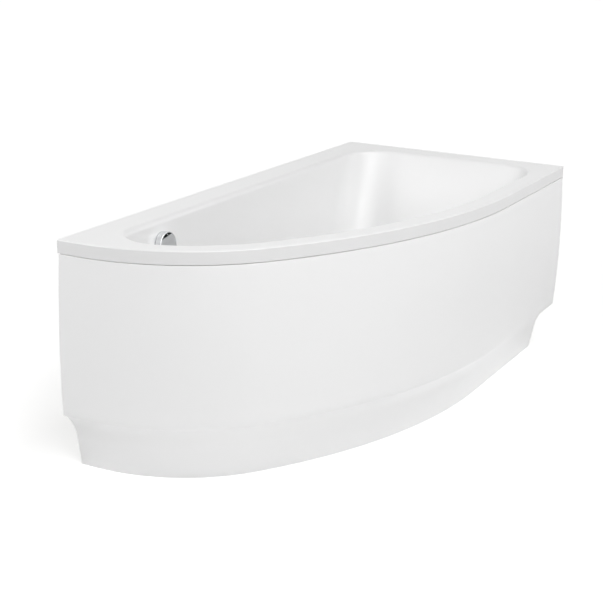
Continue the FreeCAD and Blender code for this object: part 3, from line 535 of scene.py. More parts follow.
@dataclass(frozen=True)
class SprayedFibre(Finish):
    """Chopped glass strands rolled into resin under the bath."""

    LAYS = ((1.0, 0.09, 0.09), (0.09, 1.0, 0.09), (0.16, 0.13, 1.0))
    PALEST_GAIN = 1.12

    strand: float = 240.0
    thickness: float = 0.9 * MM

    def strands(self, graph: Graph) -> bpy.types.NodeSocket:
        """Strands that lie in three directions, as a height."""
        first, *others = (graph.noise(self.strand, 2.0, stretch) for stretch in self.LAYS)
        for layer in others:
            first = graph.math("MAXIMUM", first, layer)
        return first

    def tones(self, graph: Graph) -> bpy.types.NodeSocket:
        """Pale strands over darker resin."""
        palest = lighter(self.colour, self.PALEST_GAIN)
        stops = ((0.45, self.other), (0.62, self.colour), (0.78, palest))
        return graph.ramp(self.strands(graph), stops)

    def relief(self, graph: Graph) -> bpy.types.NodeSocket:
        """The strands stand out."""
        return graph.bump(self.strands(graph), self.thickness)


@dataclass(frozen=True)
class PressedChips(Finish):
    """Raw chipboard: pressed chips of many tones."""

    chips: float = 260.0
    stretch: Point = (1.0, 0.45, 1.6)
    palest: Colour = (0.74, 0.6, 0.42)
    raised: float = 0.3 * MM

    def tones(self, graph: Graph) -> bpy.types.NodeSocket:
        """Give each chip its tone."""
        tone, _ = graph.cells(self.chips, self.stretch)
        return graph.ramp(tone, ((0.0, self.other), (0.5, self.colour), (1.0, self.palest)))

    def relief(self, graph: Graph) -> bpy.types.NodeSocket:
        """The chips' edges stand up a little."""
        _, distance = graph.cells(self.chips, self.stretch)
        return graph.bump(distance, self.raised)


FINISHES: dict[Slot, Finish] = {
    Slot.ACRYLIC: PolishedAcrylic(
        "polished acrylic", (0.92, 0.92, 0.92), (0.91, 0.91, 0.91), 0.3, 0.36,
        patch=1.5, grain=6.0, depth=0.12 * MM),
    Slot.GLASS_FIBRE: SprayedFibre(
        "sprayed glass fibre", (0.66, 0.64, 0.55), (0.42, 0.4, 0.32), 0.45, 0.7, dust=0.3),
    Slot.CHIPBOARD: PressedChips(
        "raw chipboard", (0.55, 0.4, 0.25), (0.34, 0.22, 0.12), 0.7, 0.9, worn=0.4),
    Slot.ZINC_STEEL: SpangledZinc(
        "galvanised steel", (0.62, 0.63, 0.65), (0.45, 0.46, 0.48), 0.3, 0.48, dust=0.5, worn=0.6),
    Slot.SPRING_STEEL: Metal(
        "spring steel", (0.5, 0.51, 0.53), (0.4, 0.41, 0.44), 0.22, 0.35, grain=800.0, worn=0.5),
    Slot.FASTENERS: Metal(
        "zinc plated fasteners", (0.66, 0.66, 0.64), (0.58, 0.56, 0.5), 0.25, 0.4,
        patch=40.0, dust=0.2, worn=0.6),
    Slot.CHROME: Metal(
        "polished chrome", (0.68, 0.69, 0.7), (0.66, 0.67, 0.685), 0.05, 0.09, depth=0.002 * MM),
    Slot.RUBBER: Finish(
        "black rubber", (0.03, 0.03, 0.03), (0.045, 0.045, 0.045), 0.55, 0.75, depth=0.04 * MM),
    Slot.BLACK_PLASTIC: Finish(
        "moulded black plastic", (0.04, 0.04, 0.045), (0.055, 0.055, 0.06), 0.4, 0.55,
        patch=12.0, grain=900.0, depth=0.05 * MM, dust=0.4, worn=0.5),
    Slot.SHEATH: Finish(
        "cable sheath", (0.05, 0.05, 0.05), (0.065, 0.065, 0.065), 0.35, 0.5, depth=0.03 * MM),
    Slot.POLYPROPYLENE: Finish(
        "moulded polypropylene", (0.78, 0.78, 0.765), (0.73, 0.73, 0.7), 0.32, 0.45,
        patch=10.0, grain=700.0, depth=0.03 * MM, dust=0.25, worn=0.3),
}


class Wardrobe:
    """Makes each finish once and dresses pieces in it."""

    def __init__(self) -> None:
        """Start with no material made."""
        self._made: dict[Slot, bpy.types.Material] = {}

    def material(self, slot: Slot) -> bpy.types.Material:
        """The material of a slot, made on its first use."""
        if slot not in self._made:
            self._made[slot] = FINISHES[slot].material()
        return self._made[slot]

    def dress(self, piece: bpy.types.Object, slot: Slot) -> None:
        """Put a finish on a piece.

        Args:
            piece: A mesh object.
            slot: The record's slot that it takes its finish from.
        """
        piece.data.materials.clear()
        piece.data.materials.append(self.material(slot))

    def hand_over(self, piece: bpy.types.Object, slot: Slot, body: Body, *nodes: str) -> None:
        """Dress a made piece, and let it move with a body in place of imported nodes.

        Args:
            piece: A mesh object.
            slot: The record's slot that it takes its finish from.
            body: The body that it moves with.
            *nodes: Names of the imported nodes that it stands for.
        """
        self.dress(piece, slot)
        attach(piece, body.value)
        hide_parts(*nodes)
        LOG.info("%s: %s, on %s", piece.name, slot.value, body.value)


# --- Mesh making -----------------------------------------------------------------------------
def full_turn(steps: int) -> list[float]:
    """Equal steps of a full turn, in radians."""
    return [math.tau * index / steps for index in range(steps)]


def show(thing: bpy.types.Object) -> None:
    """Put an object in the scene."""
    bpy.context.scene.collection.objects.link(thing)


@dataclass(frozen=True)
class Axis:
    """A line to turn points about, with the direction that turns are counted from."""

    origin: Vector
    along: Vector
    start: Vector

    def point(self, radius: float, out: float, turn: float) -> Vector:
        """A point beside the axis.

        Args:
            radius: Distance from the axis.
            out: Distance along the axis.
            turn: Angle from the start, in radians.

        Returns:
            The point.
        """
        side = self.start * math.cos(turn) + self.along.cross(self.start) * math.sin(turn)
        return self.origin + self.along * out + side * radius


def upright(x: float, y: float, z: float = 0.0) -> Axis:
    """An axis that stands on a point."""
    return Axis(Vector((x, y, z)), UP, ALONG_X)


class MeshMaker:
    """Builds one mesh from rings of points, in millimetres from the walls' corner."""

    def __init__(self, name: str) -> None:
        """Start an empty mesh.

        Args:
            name: The name of the object to be.
        """
        self.name = name
        self.mesh = bmesh.new()
        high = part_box("bath_shell")[1]
        self.corner = Vector((high.x, high.y, 0.0))

    def ring(self, points: Iterable[Vector]) -> Ring:
        """Add points."""
        return [self.mesh.verts.new(self.corner + point * MM) for point in points]

    def skin(self, rings: Sequence[Ring], closed: bool = False) -> None:
        """Join each ring to the next with four-sided faces.

        Args:
            rings: Rings with equal counts, each running back to its first point.
            closed: Whether the last ring joins the first.
        """
        pairs = list(zip(rings, rings[1:]))
        if closed:
            pairs.append((rings[-1], rings[0]))
        for first, second in pairs:
            count = len(first)
            for index in range(count):
                after = (index + 1) % count
                self.mesh.faces.new((first[index], first[after], second[after], second[index]))

    def tipped(self, rings: Sequence[Ring]) -> None:
        """Join rings with equal counts, and close the first and the last."""
        self.skin(rings)
        for ring in (rings[0], rings[-1]):
            self.mesh.faces.new(ring)

    def revolve(self, axis: Axis, profile: Profile, segments: int = 64, closed: bool = False) -> None:
        """Turn a profile about an axis.

        Args:
            axis: The axis.
            profile: Radii and distances along the axis. An open profile's ends are closed flat.
            segments: Steps of the full turn.
            closed: Whether the profile's end joins its start.
        """
        turns = full_turn(segments)
        rings = [self.ring(axis.point(radius, out, turn) for turn in turns) for radius, out in profile]
        if closed:
            self.skin(rings, closed=True)
        else:
            self.tipped(rings)

    def extrude(self, outline: Sequence[Vector], run: Vector) -> None:
        """Push a flat outline along a straight run.

        Args:
            outline: The outline's points, in order.
            run: The direction and length.
        """
        self.tipped([self.ring(outline), self.ring(point + run for point in outline)])

    def finish(self, crease: float = CREASE) -> bpy.types.Object:
        """Turn the mesh into an object.

        Args:
            crease: Edges bent by more degrees than this stay sharp.

        Returns:
            The new object.
        """
        bmesh.ops.recalc_face_normals(self.mesh, faces=self.mesh.faces[:])
        data = bpy.data.meshes.new(self.name)
        self.mesh.to_mesh(data)
        self.mesh.free()
        data.shade_smooth()
        data.set_sharp_from_angle(angle=math.radians(crease))
        piece = bpy.data.objects.new(self.name, data)
        show(piece)
        return piece


def cut_away(piece: bpy.types.Object, cutter: bpy.types.Object) -> None:
    """Cut one closed shape out of another, and remove the cutter.

    Args:
        piece: The object that stays.
        cutter: The object whose shape goes.
    """
    change = piece.modifiers.new("cut", "BOOLEAN")
    change.object = cutter
    change.solver = "EXACT"
    view = bpy.context.evaluated_depsgraph_get()
    cut = bpy.data.meshes.new_from_object(piece.evaluated_get(view))
    piece.modifiers.clear()
    piece.data = cut
    bpy.data.objects.remove(cutter)
    cut.set_sharp_from_angle(angle=math.radians(CREASE))


def drill(
    piece: bpy.types.Object, holes: Sequence[tuple[Axis, float]], start: float, stop: float
) -> None:
    """Cut round holes through a piece.

    Args:
        piece: A closed mesh object.
        holes: The axis and radius of each hole.
        start: Where the holes start along their axes.
        stop: Where they stop.
    """
    maker = MeshMaker("drill")
    for axis, radius in holes:
        maker.revolve(axis, [(radius, start), (radius, stop)], segments=48)
    cut_away(piece, maker.finish())


class BentPath:
    """A line through points, with its corners rounded, that can be walked by distance."""

    ARC_STEPS = 10
    # How much of its shorter run a corner takes that is as wide as can be.
    WIDEST = 0.45

    def __init__(self, points: Sequence[Vector], radius: float = 0.0) -> None:
        """Round the corners.

        Args:
            points: The corners and ends, in millimetres.
            radius: Radius of every corner. At 0 each is as wide as its two runs allow.
        """
        self.points = [points[0]]
        for before, corner, after in zip(points, points[1:], points[2:]):
            back, ahead = (before - corner).normalized(), (after - corner).normalized()
            half_turn = (math.pi - back.angle(ahead)) / 2.0
            widest = self.WIDEST * min((corner - before).length, (after - corner).length)
            reach = radius * math.tan(half_turn) if radius > 0.0 else widest
            bend = reach / math.tan(half_turn)
            centre = corner + (back + ahead).normalized() * (bend / math.cos(half_turn))
            first = corner + back * reach - centre
            last = corner + ahead * reach - centre
            for step in range(self.ARC_STEPS + 1):
                spoke = first.slerp(last, step / self.ARC_STEPS).normalized()
                self.points.append(centre + spoke * bend)
        self.points.append(points[-1])
        self.marks = [0.0]
        for first, last in zip(self.points, self.points[1:]):
            self.marks.append(self.marks[-1] + (last - first).length)

    def at(self, distance: float) -> tuple[Vector, Vector]:
        """Walk along the path.

        Args:
            distance: How far, in millimetres.

        Returns:
            The point reached, and the heading there.
        """
        index = 0
        while index < len(self.marks) - 2 and self.marks[index + 1] < distance:
            index += 1
        run = self.points[index + 1] - self.points[index]
        share = (distance - self.marks[index]) / run.length
        before = self.points[max(index - 1, 0)]
        after = self.points[min(index + 2, len(self.points) - 1)]
        turn_in = (self.points[index + 1] - before).normalized()
        turn_out = (after - self.points[index]).normalized()
        return self.points[index] + run * share, turn_in.lerp(turn_out, share).normalized()

    def sheet(self, skin: float, side: Vector) -> list[Vector]:
        """The outline of a bent sheet whose middle follows the path.

        Args:
            skin: Thickness of the sheet.
            side: Direction across the path's plane.

        Returns:
            The outline's points.
        """
        walked = [self.at(mark) for mark in self.marks]
        left = [point + heading.cross(side) * (skin / 2.0) for point, heading in walked]
        right = [point - heading.cross(side) * (skin / 2.0) for point, heading in walked]
        return left + right[::-1]


def tube(
    maker: MeshMaker, path: BentPath, stations: Iterable[tuple[float, float]], sides: int
) -> list[Ring]:
    """Rings of a round tube along a path.

    Args:
        maker: The mesh to add to.
        path: The tube's middle line.
        stations: Distances along the path, with the radius at each.
        sides: Points round the tube.

    Returns:
        The rings, not yet joined.
    """
    rings = []
    start = path.at(0.0)[1].orthogonal().normalized()
    for distance, radius in stations:
        point, heading = path.at(distance)
        start = (start - heading * start.dot(heading)).normalized()
        axis = Axis(point, heading, start)
        rings.append(maker.ring(axis.point(radius, 0.0, turn) for turn in full_turn(sides)))
    return rings


# --- Outlines of the bath --------------------------------------------------------------------
def between(pair: tuple[float, float], share: float) -> float:
    """A value part of the way from one number to another."""
    return pair[0] + (pair[1] - pair[0]) * share


def arc(
    centre: tuple[float, float], radius: float, bearings: Iterable[float], z: float
) -> list[Vector]:
    """Level points about a centre, at bearings in degrees."""
    turns = [math.radians(bearing) for bearing in bearings]
    x, y = centre
    return [Vector((x + radius * math.cos(t), y + radius * math.sin(t), z)) for t in turns]


def spread(first: float, last: float, count: int) -> list[float]:
    """Evenly spaced numbers, with both ends."""
    return [first + (last - first) * index / (count - 1) for index in range(count)]


def run_between(first: Vector, last: Vector, count: int) -> list[Vector]:
    """Evenly spaced points between two others, without them."""
    return [first.lerp(last, index / (count + 1)) for index in range(1, count + 1)]


@dataclass(frozen=True)
class BathPlan:
    """The bath's lengths and curves, and outlines with the same number of points each."""

    # How many points the parts of an outline have.
    HEAD, LONG_ARC, END_ARC, LONG_WALL, END_WALL = 9, 45, 29, 27, 11
    BESIDE = 0.01
    THROUGH_WALL = (-30.0, 30.0)
    # Radii of the rim's corners: at the walls' ends, and between the walls.
    CORNER, BACK_CORNER = 4.0, 10.0

    length: float = 1500.0
    width: float = 700.0
    height: float = 570.0
    floor: float = 150.0
    bowl: float = 60.0
    front_radius: float = 1440.0
    front_turn: float = 35.0
    end_radius: float = 470.0
    inset_wall: tuple[float, float] = (84.0, 125.0)
    inset_end: tuple[float, float] = (74.0, 330.0)
    inset_front: tuple[float, float] = (60.0, 105.0)
    inset_narrow: tuple[float, float] = (66.0, 140.0)
    radius_back: tuple[float, float] = (130.0, 165.0)
    radius_front: tuple[float, float] = (95.0, 130.0)
    radius_narrow: tuple[float, float] = (95.0, 110.0)
    flange_skin: float = 6.0
    corner_bearings: tuple[float, ...] = (90, 81, 73, 66.5, 66.42, 58, 49, 40, 30, 20, 10, 0)
    waste: tuple[float, float] = (-1200.0, -240.0)
    overflow_x: float = -1209.0
    overflow_z: float = 505.5

    @property
    def arc_end(self) -> float:
        """Bearing at which the long arc ends, in degrees."""
        return -90.0 - self.front_turn

    @property
    def sine(self) -> float:
        """Sine of the long arc's turn."""
        return math.sin(math.radians(self.front_turn))

    @property
    def cosine(self) -> float:
        """Cosine of the long arc's turn."""
        return math.cos(math.radians(self.front_turn))

    @property
    def straight(self) -> float:
        """Length of the front's straight stretch."""
        return self.length - (self.front_radius - self.end_radius) * self.sine - self.end_radius

    @property
    def front_centre(self) -> tuple[float, float]:
        """Middle of the long arc."""
        return -self.straight, self.front_radius - self.width

    def end_centre(self, long_arc: float, end_arc: float) -> tuple[float, float]:
        """Middle of an end arc that carries on from a long arc.

        Args:
            long_arc: The long arc's radius.
            end_arc: The end arc's radius.

        Returns:
            The centre.
        """
        step = long_arc - end_arc
        return -self.straight - step * self.sine, self.front_centre[1] - step * self.cosine

    def depth(self, z: float) -> float:
        """0 at the deck's height, 1 at the basin's floor."""
        return (self.height - z) / (self.height - self.floor)

    def on_flange(self, place: Vector) -> bool:
        """Whether a point of the outmost rim lies on the deep flange at the end wall."""
        return place.x > -self.flange_skin - self.BESIDE / 2.0

    def set_in(self, inset: float, z: float) -> list[Vector]:
        """The rim's outline at a height, set in by as much on every side."""
        return self.rim(inset, inset, z, self.CORNER - inset, self.BACK_CORNER - inset)

    def rim(
        self, front: float, wall: float, z: float, corner: float = CORNER, back: float = BACK_CORNER
    ) -> list[Vector]:
        """The rim's outline at a height.

        Args:
            front: How far it's set in along the front.
            wall: How far it's set in along the walls.
            z: The height.
            corner: Radius of the two corners at the walls' ends.
            back: Radius of the corner between the walls.

        Returns:
            The outline's points.
        """
        long_arc, end_arc = self.front_radius - front, self.end_radius - front
        end_centre = self.end_centre(self.front_radius, self.end_radius)
        turn = self.arc_end
        head = arc((-wall - corner, front - self.width + corner), corner, spread(0, -90, self.HEAD), z)
        sweep = arc(self.front_centre, long_arc, spread(-90, turn, self.LONG_ARC), z)
        sweep += arc(end_centre, end_arc, spread(turn, -180, self.END_ARC)[1:], z)
        foot_centre = (front - self.length + corner, -wall - corner)
        foot = arc(foot_centre, corner, spread(180, 90, self.HEAD), z)
        back_corner = arc((-wall - back, -wall - back), back, self.corner_bearings, z)
        flange = Vector((-self.flange_skin, head[-1].y, z))
        beside = flange - ALONG_X * self.BESIDE
        first = [flange, beside] + run_between(beside, sweep[0], 8)
        side = run_between(sweep[-1], foot[0], 7)
        long_wall = run_between(foot[-1], back_corner[0], self.LONG_WALL)
        end_wall = run_between(back_corner[-1], head[0], self.END_WALL)
        return head + first + sweep + side + foot + long_wall + back_corner + end_wall

    def basin(self, z: float, depth: float, inset: float) -> list[Vector]:
        """The basin's outline at a height.

        Args:
            z: The height.
            depth: 0 for the deck's outline, 1 for the floor's.
            inset: How far it's set in further on every side.

        Returns:
            The outline's points.
        """
        sides = (self.inset_wall, self.inset_end, self.inset_front, self.inset_narrow)
        wall, end, front, narrow = (between(side, depth) + inset for side in sides)
        corners = (self.radius_back, self.radius_front, self.radius_narrow)
        back_radius, head_radius, foot_radius = (between(radius, depth) - inset for radius in corners)
        long_arc = self.front_radius - front
        reach = self.length - narrow - self.straight - long_arc * self.sine
        end_arc = reach / (1.0 - self.sine)
        end_centre = self.end_centre(long_arc, end_arc)
        rise = -wall - foot_radius - end_centre[1]
        foot_x = end_centre[0] - math.sqrt((end_arc - foot_radius) ** 2 - rise ** 2)
        meet = math.degrees(math.atan2(rise, foot_x - end_centre[0]))
        turn = self.arc_end
        head_centre = (-end - head_radius, front - self.width + head_radius)
        head = arc(head_centre, head_radius, spread(0, -90, self.HEAD), z)
        sweep = arc(self.front_centre, long_arc, spread(-90, turn, self.LONG_ARC), z)
        sweep += arc(end_centre, end_arc, spread(turn, meet, self.END_ARC)[1:], z)
        foot = arc((foot_x, -wall - foot_radius), foot_radius, spread(meet, -270, 17)[1:], z)
        back = arc((-end - back_radius, -wall - back_radius), back_radius, spread(90, 0, 12), z)
        first = run_between(head[-1], sweep[0], 10)
        long_wall = run_between(foot[-1], back[0], self.LONG_WALL)
        end_wall = run_between(back[-1], head[0], self.END_WALL)
        return head + first + sweep + foot + long_wall + back + end_wall

    def tub(self, offset: float, top: float) -> list[list[Vector]]:
        """Outlines of a skin round the basin, from a height down to the floor.

        Args:
            offset: How far the skin lies outside the basin's inside.
            top: The height to start at.

        Returns:
            The outlines, from the top down.
        """
        bowl_top = self.floor + self.bowl
        heights = spread(top, bowl_top, 11)[:-1]
        rings = [self.basin(z, self.depth(z), -offset) for z in heights]
        for degrees in range(0, 91, 9):
            turn = math.radians(degrees)
            inner = self.floor + self.bowl * (1.0 - math.sin(turn))
            inset = self.bowl - (self.bowl + offset) * math.cos(turn)
            rings.append(self.basin(inner - offset * math.sin(turn), self.depth(inner), inset))
        return rings

    def round_waste(self, outline: Sequence[Vector], radius: float) -> list[Vector]:
        """A circle round the waste, with a point towards each point of an outline.

        Args:
            outline: A level outline round the waste.
            radius: The circle's radius.

        Returns:
            The circle's points.
        """
        middle = Vector((*self.waste, outline[0].z))
        return [middle + (point - middle).normalized() * radius for point in outline]

    def overflow_axis(self) -> Axis:
        """The overflow's axis, square to the basin's wall.

        Returns:
            The axis, out into the bath, with its turns counted from straight up.
        """
        low, high = self.inset_wall
        lean = math.atan((high - low) / (self.height - self.floor))
        along = Vector((0.0, -math.cos(lean), math.sin(lean)))
        inset = between(self.inset_wall, self.depth(self.overflow_z))
        return Axis(Vector((self.overflow_x, -inset, self.overflow_z)), along, along.cross(ALONG_X))


# --- Shell and panel -------------------------------------------------------------------------
@dataclass
class AcrylicShell:
    """The white shell: skirt, deck, lip, basin, floor and the skin's underside, in one mesh."""

    # The mesh's mask for painted shade, and how many rings from the skirt's lower edge it covers: the
    # skirt's outer face, up to the start of the top rounding.
    PAINTED_SHADE = "painted_shade"
    PAINTED_SHADE_RINGS = 4
    DECK_SHARES = (0.25, 0.5, 0.75)
    FLOOR_SHARES = (0.3, 0.6, 0.85, 1.0)
    LIP_STEPS = 9

    plan: BathPlan
    skin: float = 5.0
    rim_bottom: float = 538.0
    edge_radius: float = 3.0
    lower_edge: float = 0.8
    flange_drop: float = 28.0
    lip: float = 16.0
    lip_reach: float = 30.0
    slope_reach: float = 100.0
    collar: float = 558.56
    hole: float = 25.0
    overflow_hole: float = 24.0
    hollow_ends: tuple[float, float] = (-693.0, -12.0)

    def lowered(self, outline: list[Vector]) -> list[Vector]:
        """Lower the part of an outline that belongs to the deep flange on the end wall.

        Args:
            outline: An outline on the skirt's lower edge.

        Returns:
            The same outline, changed.
        """
        for point, place in zip(outline, self.plan.rim(0.0, 0.0, 0.0)):
            if self.plan.on_flange(place):
                point.z -= self.flange_drop
        return outline

    def hollow(self, z: float) -> list[Vector]:
        """The outline of the hollow inside the skirt.

        Args:
            z: The height.

        Returns:
            The outline's points.
        """
        skin = self.plan.flange_skin
        outline = self.plan.rim(self.skin, skin, z, 2.0, 6.0)
        low, high = self.hollow_ends
        for index, place in enumerate(self.plan.rim(0.0, 0.0, 0.0)):
            if self.plan.on_flange(place):
                outline[index] = Vector((-skin, min(max(place.y, low), high), z))
        return outline

    def skirt(self) -> list[list[Vector]]:
        """From the skirt's lower edge up its face and over the rounded edge.

        Returns:
            Outlines in that order.
        """
        rings = []
        for degrees in (0, 45, 90):
            turn = math.radians(degrees)
            inset = self.lower_edge * (1.0 - math.sin(turn))
            z = self.rim_bottom + self.lower_edge * (1.0 - math.cos(turn))
            rings.append(self.lowered(self.plan.set_in(inset, z)))
        for degrees in range(0, 91, 15):
            turn = math.radians(degrees)
            inset = self.edge_radius * (1.0 - math.cos(turn))
            z = self.plan.height - self.edge_radius * (1.0 - math.sin(turn))
            rings.append(self.plan.set_in(inset, z))
        return rings

    def lip_rings(self) -> list[list[Vector]]:
        """The rounding from the deck down into the basin.

        Returns:
            Outlines from the deck down.
        """
        steps, lower = self.LIP_STEPS, self.plan.height - self.slope_reach
        mouth = self.plan.basin(self.plan.height, 0.0, 0.0)
        below = self.plan.basin(lower, self.plan.depth(lower), 0.0)
        rings: list[list[Vector]] = [[] for _ in range(steps + 1)]
        for index, point in enumerate(mouth):
            ahead = mouth[(index + 1) % len(mouth)] - mouth[index - 1]
            outward = Vector((-ahead.y, ahead.x, 0.0)).normalized()
            lean = math.atan2((point - below[index]).dot(outward), self.slope_reach)
            away = self.lip * math.tan((math.pi / 2.0 - lean) / 2.0)
            centre = point + outward * away - UP * self.lip
            for step, ring in enumerate(rings):
                turn = (math.pi / 2.0 - lean) * step / steps
                ring.append(centre + (UP * math.cos(turn) - outward * math.sin(turn)) * self.lip)
        return rings

    def floor_rings(self, outline: list[Vector], low: float) -> list[list[Vector]]:
        """From a level outline in to the waste's hole.

        Args:
            outline: The outline at the bowl's lowest ring.
            low: Height of the hole's edge.

        Returns:
            Outlines towards the hole.
        """
        round_hole = self.plan.round_waste(outline, self.hole)
        rings = []
        for share in self.FLOOR_SHARES:
            rings.append([point.lerp(goal, share) for point, goal in zip(outline, round_hole)])
        for point in rings[-1]:
            point.z = low
        return rings

    def build(self, wardrobe: Wardrobe) -> None:
        """Make the shell.

        Args:
            wardrobe: Where it gets its finish.
        """
        skirt, lip = self.skirt(), self.lip_rings()
        deck = [[a.lerp(b, share) for a, b in zip(skirt[-1], lip[0])] for share in self.DECK_SHARES]
        inside = self.plan.tub(0.0, self.plan.height - self.lip_reach)
        outside = self.plan.tub(self.skin, self.collar)[::-1]
        under_deck = self.plan.height - self.skin
        inset = self.collar - under_deck - self.skin
        collar = self.plan.basin(under_deck, self.plan.depth(under_deck), inset)
        hollow = [self.hollow(under_deck), self.lowered(self.hollow(self.rim_bottom))]
        outlines = skirt + deck + lip + inside + self.floor_rings(inside[-1], self.plan.floor)
        outlines += self.floor_rings(outside[0], self.plan.floor - self.skin)[::-1]
        outlines += outside + [collar] + hollow
        maker = MeshMaker("shell_acrylic")
        # Painted shade: the first rings, the skirt's outer face, carry the mask that greys their
        # colour.
        layer = maker.mesh.verts.layers.float.new(self.PAINTED_SHADE)
        rings = [maker.ring(outline) for outline in outlines]
        for ring in rings[:self.PAINTED_SHADE_RINGS]:
            for vertex in ring:
                vertex[layer] = 1.0
        maker.skin(rings, closed=True)
        shell = maker.finish()
        drill(shell, [(self.plan.overflow_axis(), self.overflow_hole)], *self.plan.THROUGH_WALL)
        even = shell.modifiers.new("even_shading", "WEIGHTED_NORMAL")
        even.keep_sharp = True
        wardrobe.hand_over(shell, Slot.ACRYLIC, Body.BATH, "bath_shell")


@dataclass
class GlassFibreLayer:
    """The rough layer of resin and glass strands round the basin's outside."""

    FLOOR_SHARES = (0.35, 0.7, 1.0)

    plan: BathPlan
    inner: float = 5.3
    thickness: float = 3.2
    top: float = 558.06
    hole: float = 45.0
    overflow_clear: float = 42.0
    unevenness: float = 0.5
    patch: float = 0.045

    def build(self, wardrobe: Wardrobe) -> None:
        """Make the layer. Its outside wanders inwards, so it stays within its thickness.

        Args:
            wardrobe: Where it gets its finish.
        """
        near = self.plan.tub(self.inner, self.top)
        far = self.plan.tub(self.inner + self.thickness, self.top)
        for rings in (near, far):
            lowest = rings[-1]
            circle = self.plan.round_waste(lowest, self.hole)
            for share in self.FLOOR_SHARES:
                rings.append([a.lerp(b, share) for a, b in zip(lowest, circle)])
        for outline, inside in zip(far, near):
            for point, inner in zip(outline, inside):
                sink = self.unevenness * (0.5 + 0.5 * noise.noise(point * self.patch))
                point += (inner - point) * sink
        maker = MeshMaker("glass_fibre_layer")
        maker.skin([maker.ring(outline) for outline in near + far[::-1]], closed=True)
        layer = maker.finish()
        drill(layer, [(self.plan.overflow_axis(), self.overflow_clear)], *self.plan.THROUGH_WALL)
        wardrobe.hand_over(layer, Slot.GLASS_FIBRE, Body.BATH, "shell_reinforcement")


@dataclass
class FrontPanel:
    """The crowned panel that follows the front, with its fold at the top and its cove below."""

    # How many points the face, the cove and the back have, and each stretch of the plan.
    FACE_STEPS, COVE_STEPS, BACK_STEPS = 34, 15, 20
    FRONT, LONG_ARC, END_ARC, SIDE = 24, 49, 33, 4

    plan: BathPlan
    skin: float = 4.0
    top: float = 536.5
    fold: float = 18.0
    fold_radius: float = 1.2
    crown: float = 7.0
    edge: float = 148.0
    wall_gap: float = 6.5
    face_margins: tuple[float, float] = (4.0, 3.0)
    back_margin: float = 6.0
    nose: tuple[tuple[float, float], ...] = (
        (0.42, 149.9), (0.7, 148.8), (1.0, 147.8), (1.8, 146.8), (3.4, 145.8))
    cove_start: tuple[float, float] = (6.0, 144.0)
    cove_radius: float = 112.0
    cove_turn: tuple[float, float] = (35.0, 79.0)

    def crowned(self, z: float, skin: float) -> float:
        """How far in the face, or its back, lies at a height.

        Args:
            z: The height.
            skin: 0 for the face, the skin's thickness for its back.

        Returns:
            The distance in from the rim's outline.
        """
        half = (self.top - self.edge) / 2.0
        radius = (half ** 2 + self.crown ** 2) / (2.0 * self.crown)
        return radius - self.crown - math.sqrt((radius - skin) ** 2 - (z - self.edge - half) ** 2)

    def cove(self, skin: float, degrees: float) -> tuple[float, float]:
        """A point of the hollow curve under the face.

        Args:
            skin: 0 for its face, the skin's thickness for its back.
            degrees: Steepness there, below level.

        Returns:
            The distance in, and the height.
        """
        first, turn = math.radians(self.cove_turn[0]), math.radians(degrees)
        inward = self.cove_start[0] + self.cove_radius * (math.sin(turn) - math.sin(first))
        z = self.cove_start[1] - self.cove_radius * (math.cos(first) - math.cos(turn))
        return inward + skin * math.sin(turn), z + skin * math.cos(turn)

    def foot(self, skin: float) -> tuple[float, float]:
        """Where the straight foot meets the floor, in front or behind."""
        steep = math.radians(self.cove_turn[1])
        inward, z = self.cove(skin, self.cove_turn[1])
        return inward + z / math.tan(steep), 0.0

    def profile(self) -> Profile:
        """The panel's section.

        Returns:
            Distances in and heights, from the fold's edge down the face and up the back.
        """
        points = [(self.fold, self.top)]
        for degrees in (90, 60, 30, 0):
            turn = math.radians(degrees)
            z = self.top - self.fold_radius * (1.0 - math.sin(turn))
            points.append((self.crowned(z, 0.0) + self.fold_radius * (1.0 - math.cos(turn)), z))
        above, below = self.face_margins
        heights = spread(self.top - above, self.edge + below, self.FACE_STEPS)
        points += [(self.crowned(z, 0.0), z) for z in heights] + list(self.nose)
        turns = spread(*self.cove_turn, self.COVE_STEPS)
        points += [self.cove(0.0, turn) for turn in turns] + [self.foot(0.0), self.foot(self.skin)]
        points += [self.cove(self.skin, turn) for turn in turns[::-1]]
        heights = spread(self.edge + self.back_margin, self.top - self.skin, self.BACK_STEPS)
        points += [(self.crowned(z, self.skin), z) for z in heights]
        return points + [(self.fold, self.top - self.skin)]

    def stations(self) -> list[tuple[Vector, Vector]]:
        """Points along the rim's outline, each with the direction inwards.

        Returns:
            The stations, from the end wall round to the long wall.
        """
        plan = self.plan
        front = spread(-self.wall_gap, -plan.straight, self.FRONT)
        found = [(Vector((x, -plan.width, 0.0)), ALONG_Y) for x in front]
        end_centre = plan.end_centre(plan.front_radius, plan.end_radius)
        for centre, radius, bearings in (
            (plan.front_centre, plan.front_radius, spread(-90, plan.arc_end, self.LONG_ARC)[1:]),
            (end_centre, plan.end_radius, spread(plan.arc_end, -180, self.END_ARC)[1:]),
        ):
            found += zip(arc(centre, radius, bearings, 0.0), arc((0, 0), -1.0, bearings, 0.0))
        side = spread(end_centre[1], -self.wall_gap, self.SIDE)[1:]
        return found + [(Vector((-plan.length, y, 0.0)), ALONG_X) for y in side]

    def build(self, wardrobe: Wardrobe) -> None:
        """Make the panel.

        Args:
            wardrobe: Where it gets its finish.
        """
        maker = MeshMaker("panel_acrylic")
        profile = self.profile()
        rings = []
        for place, inward in self.stations():
            rings.append(maker.ring(place + inward * depth + UP * z for depth, z in profile))
        maker.tipped(rings)
        wardrobe.hand_over(maker.finish(), Slot.ACRYLIC, Body.PANEL, "front_panel")


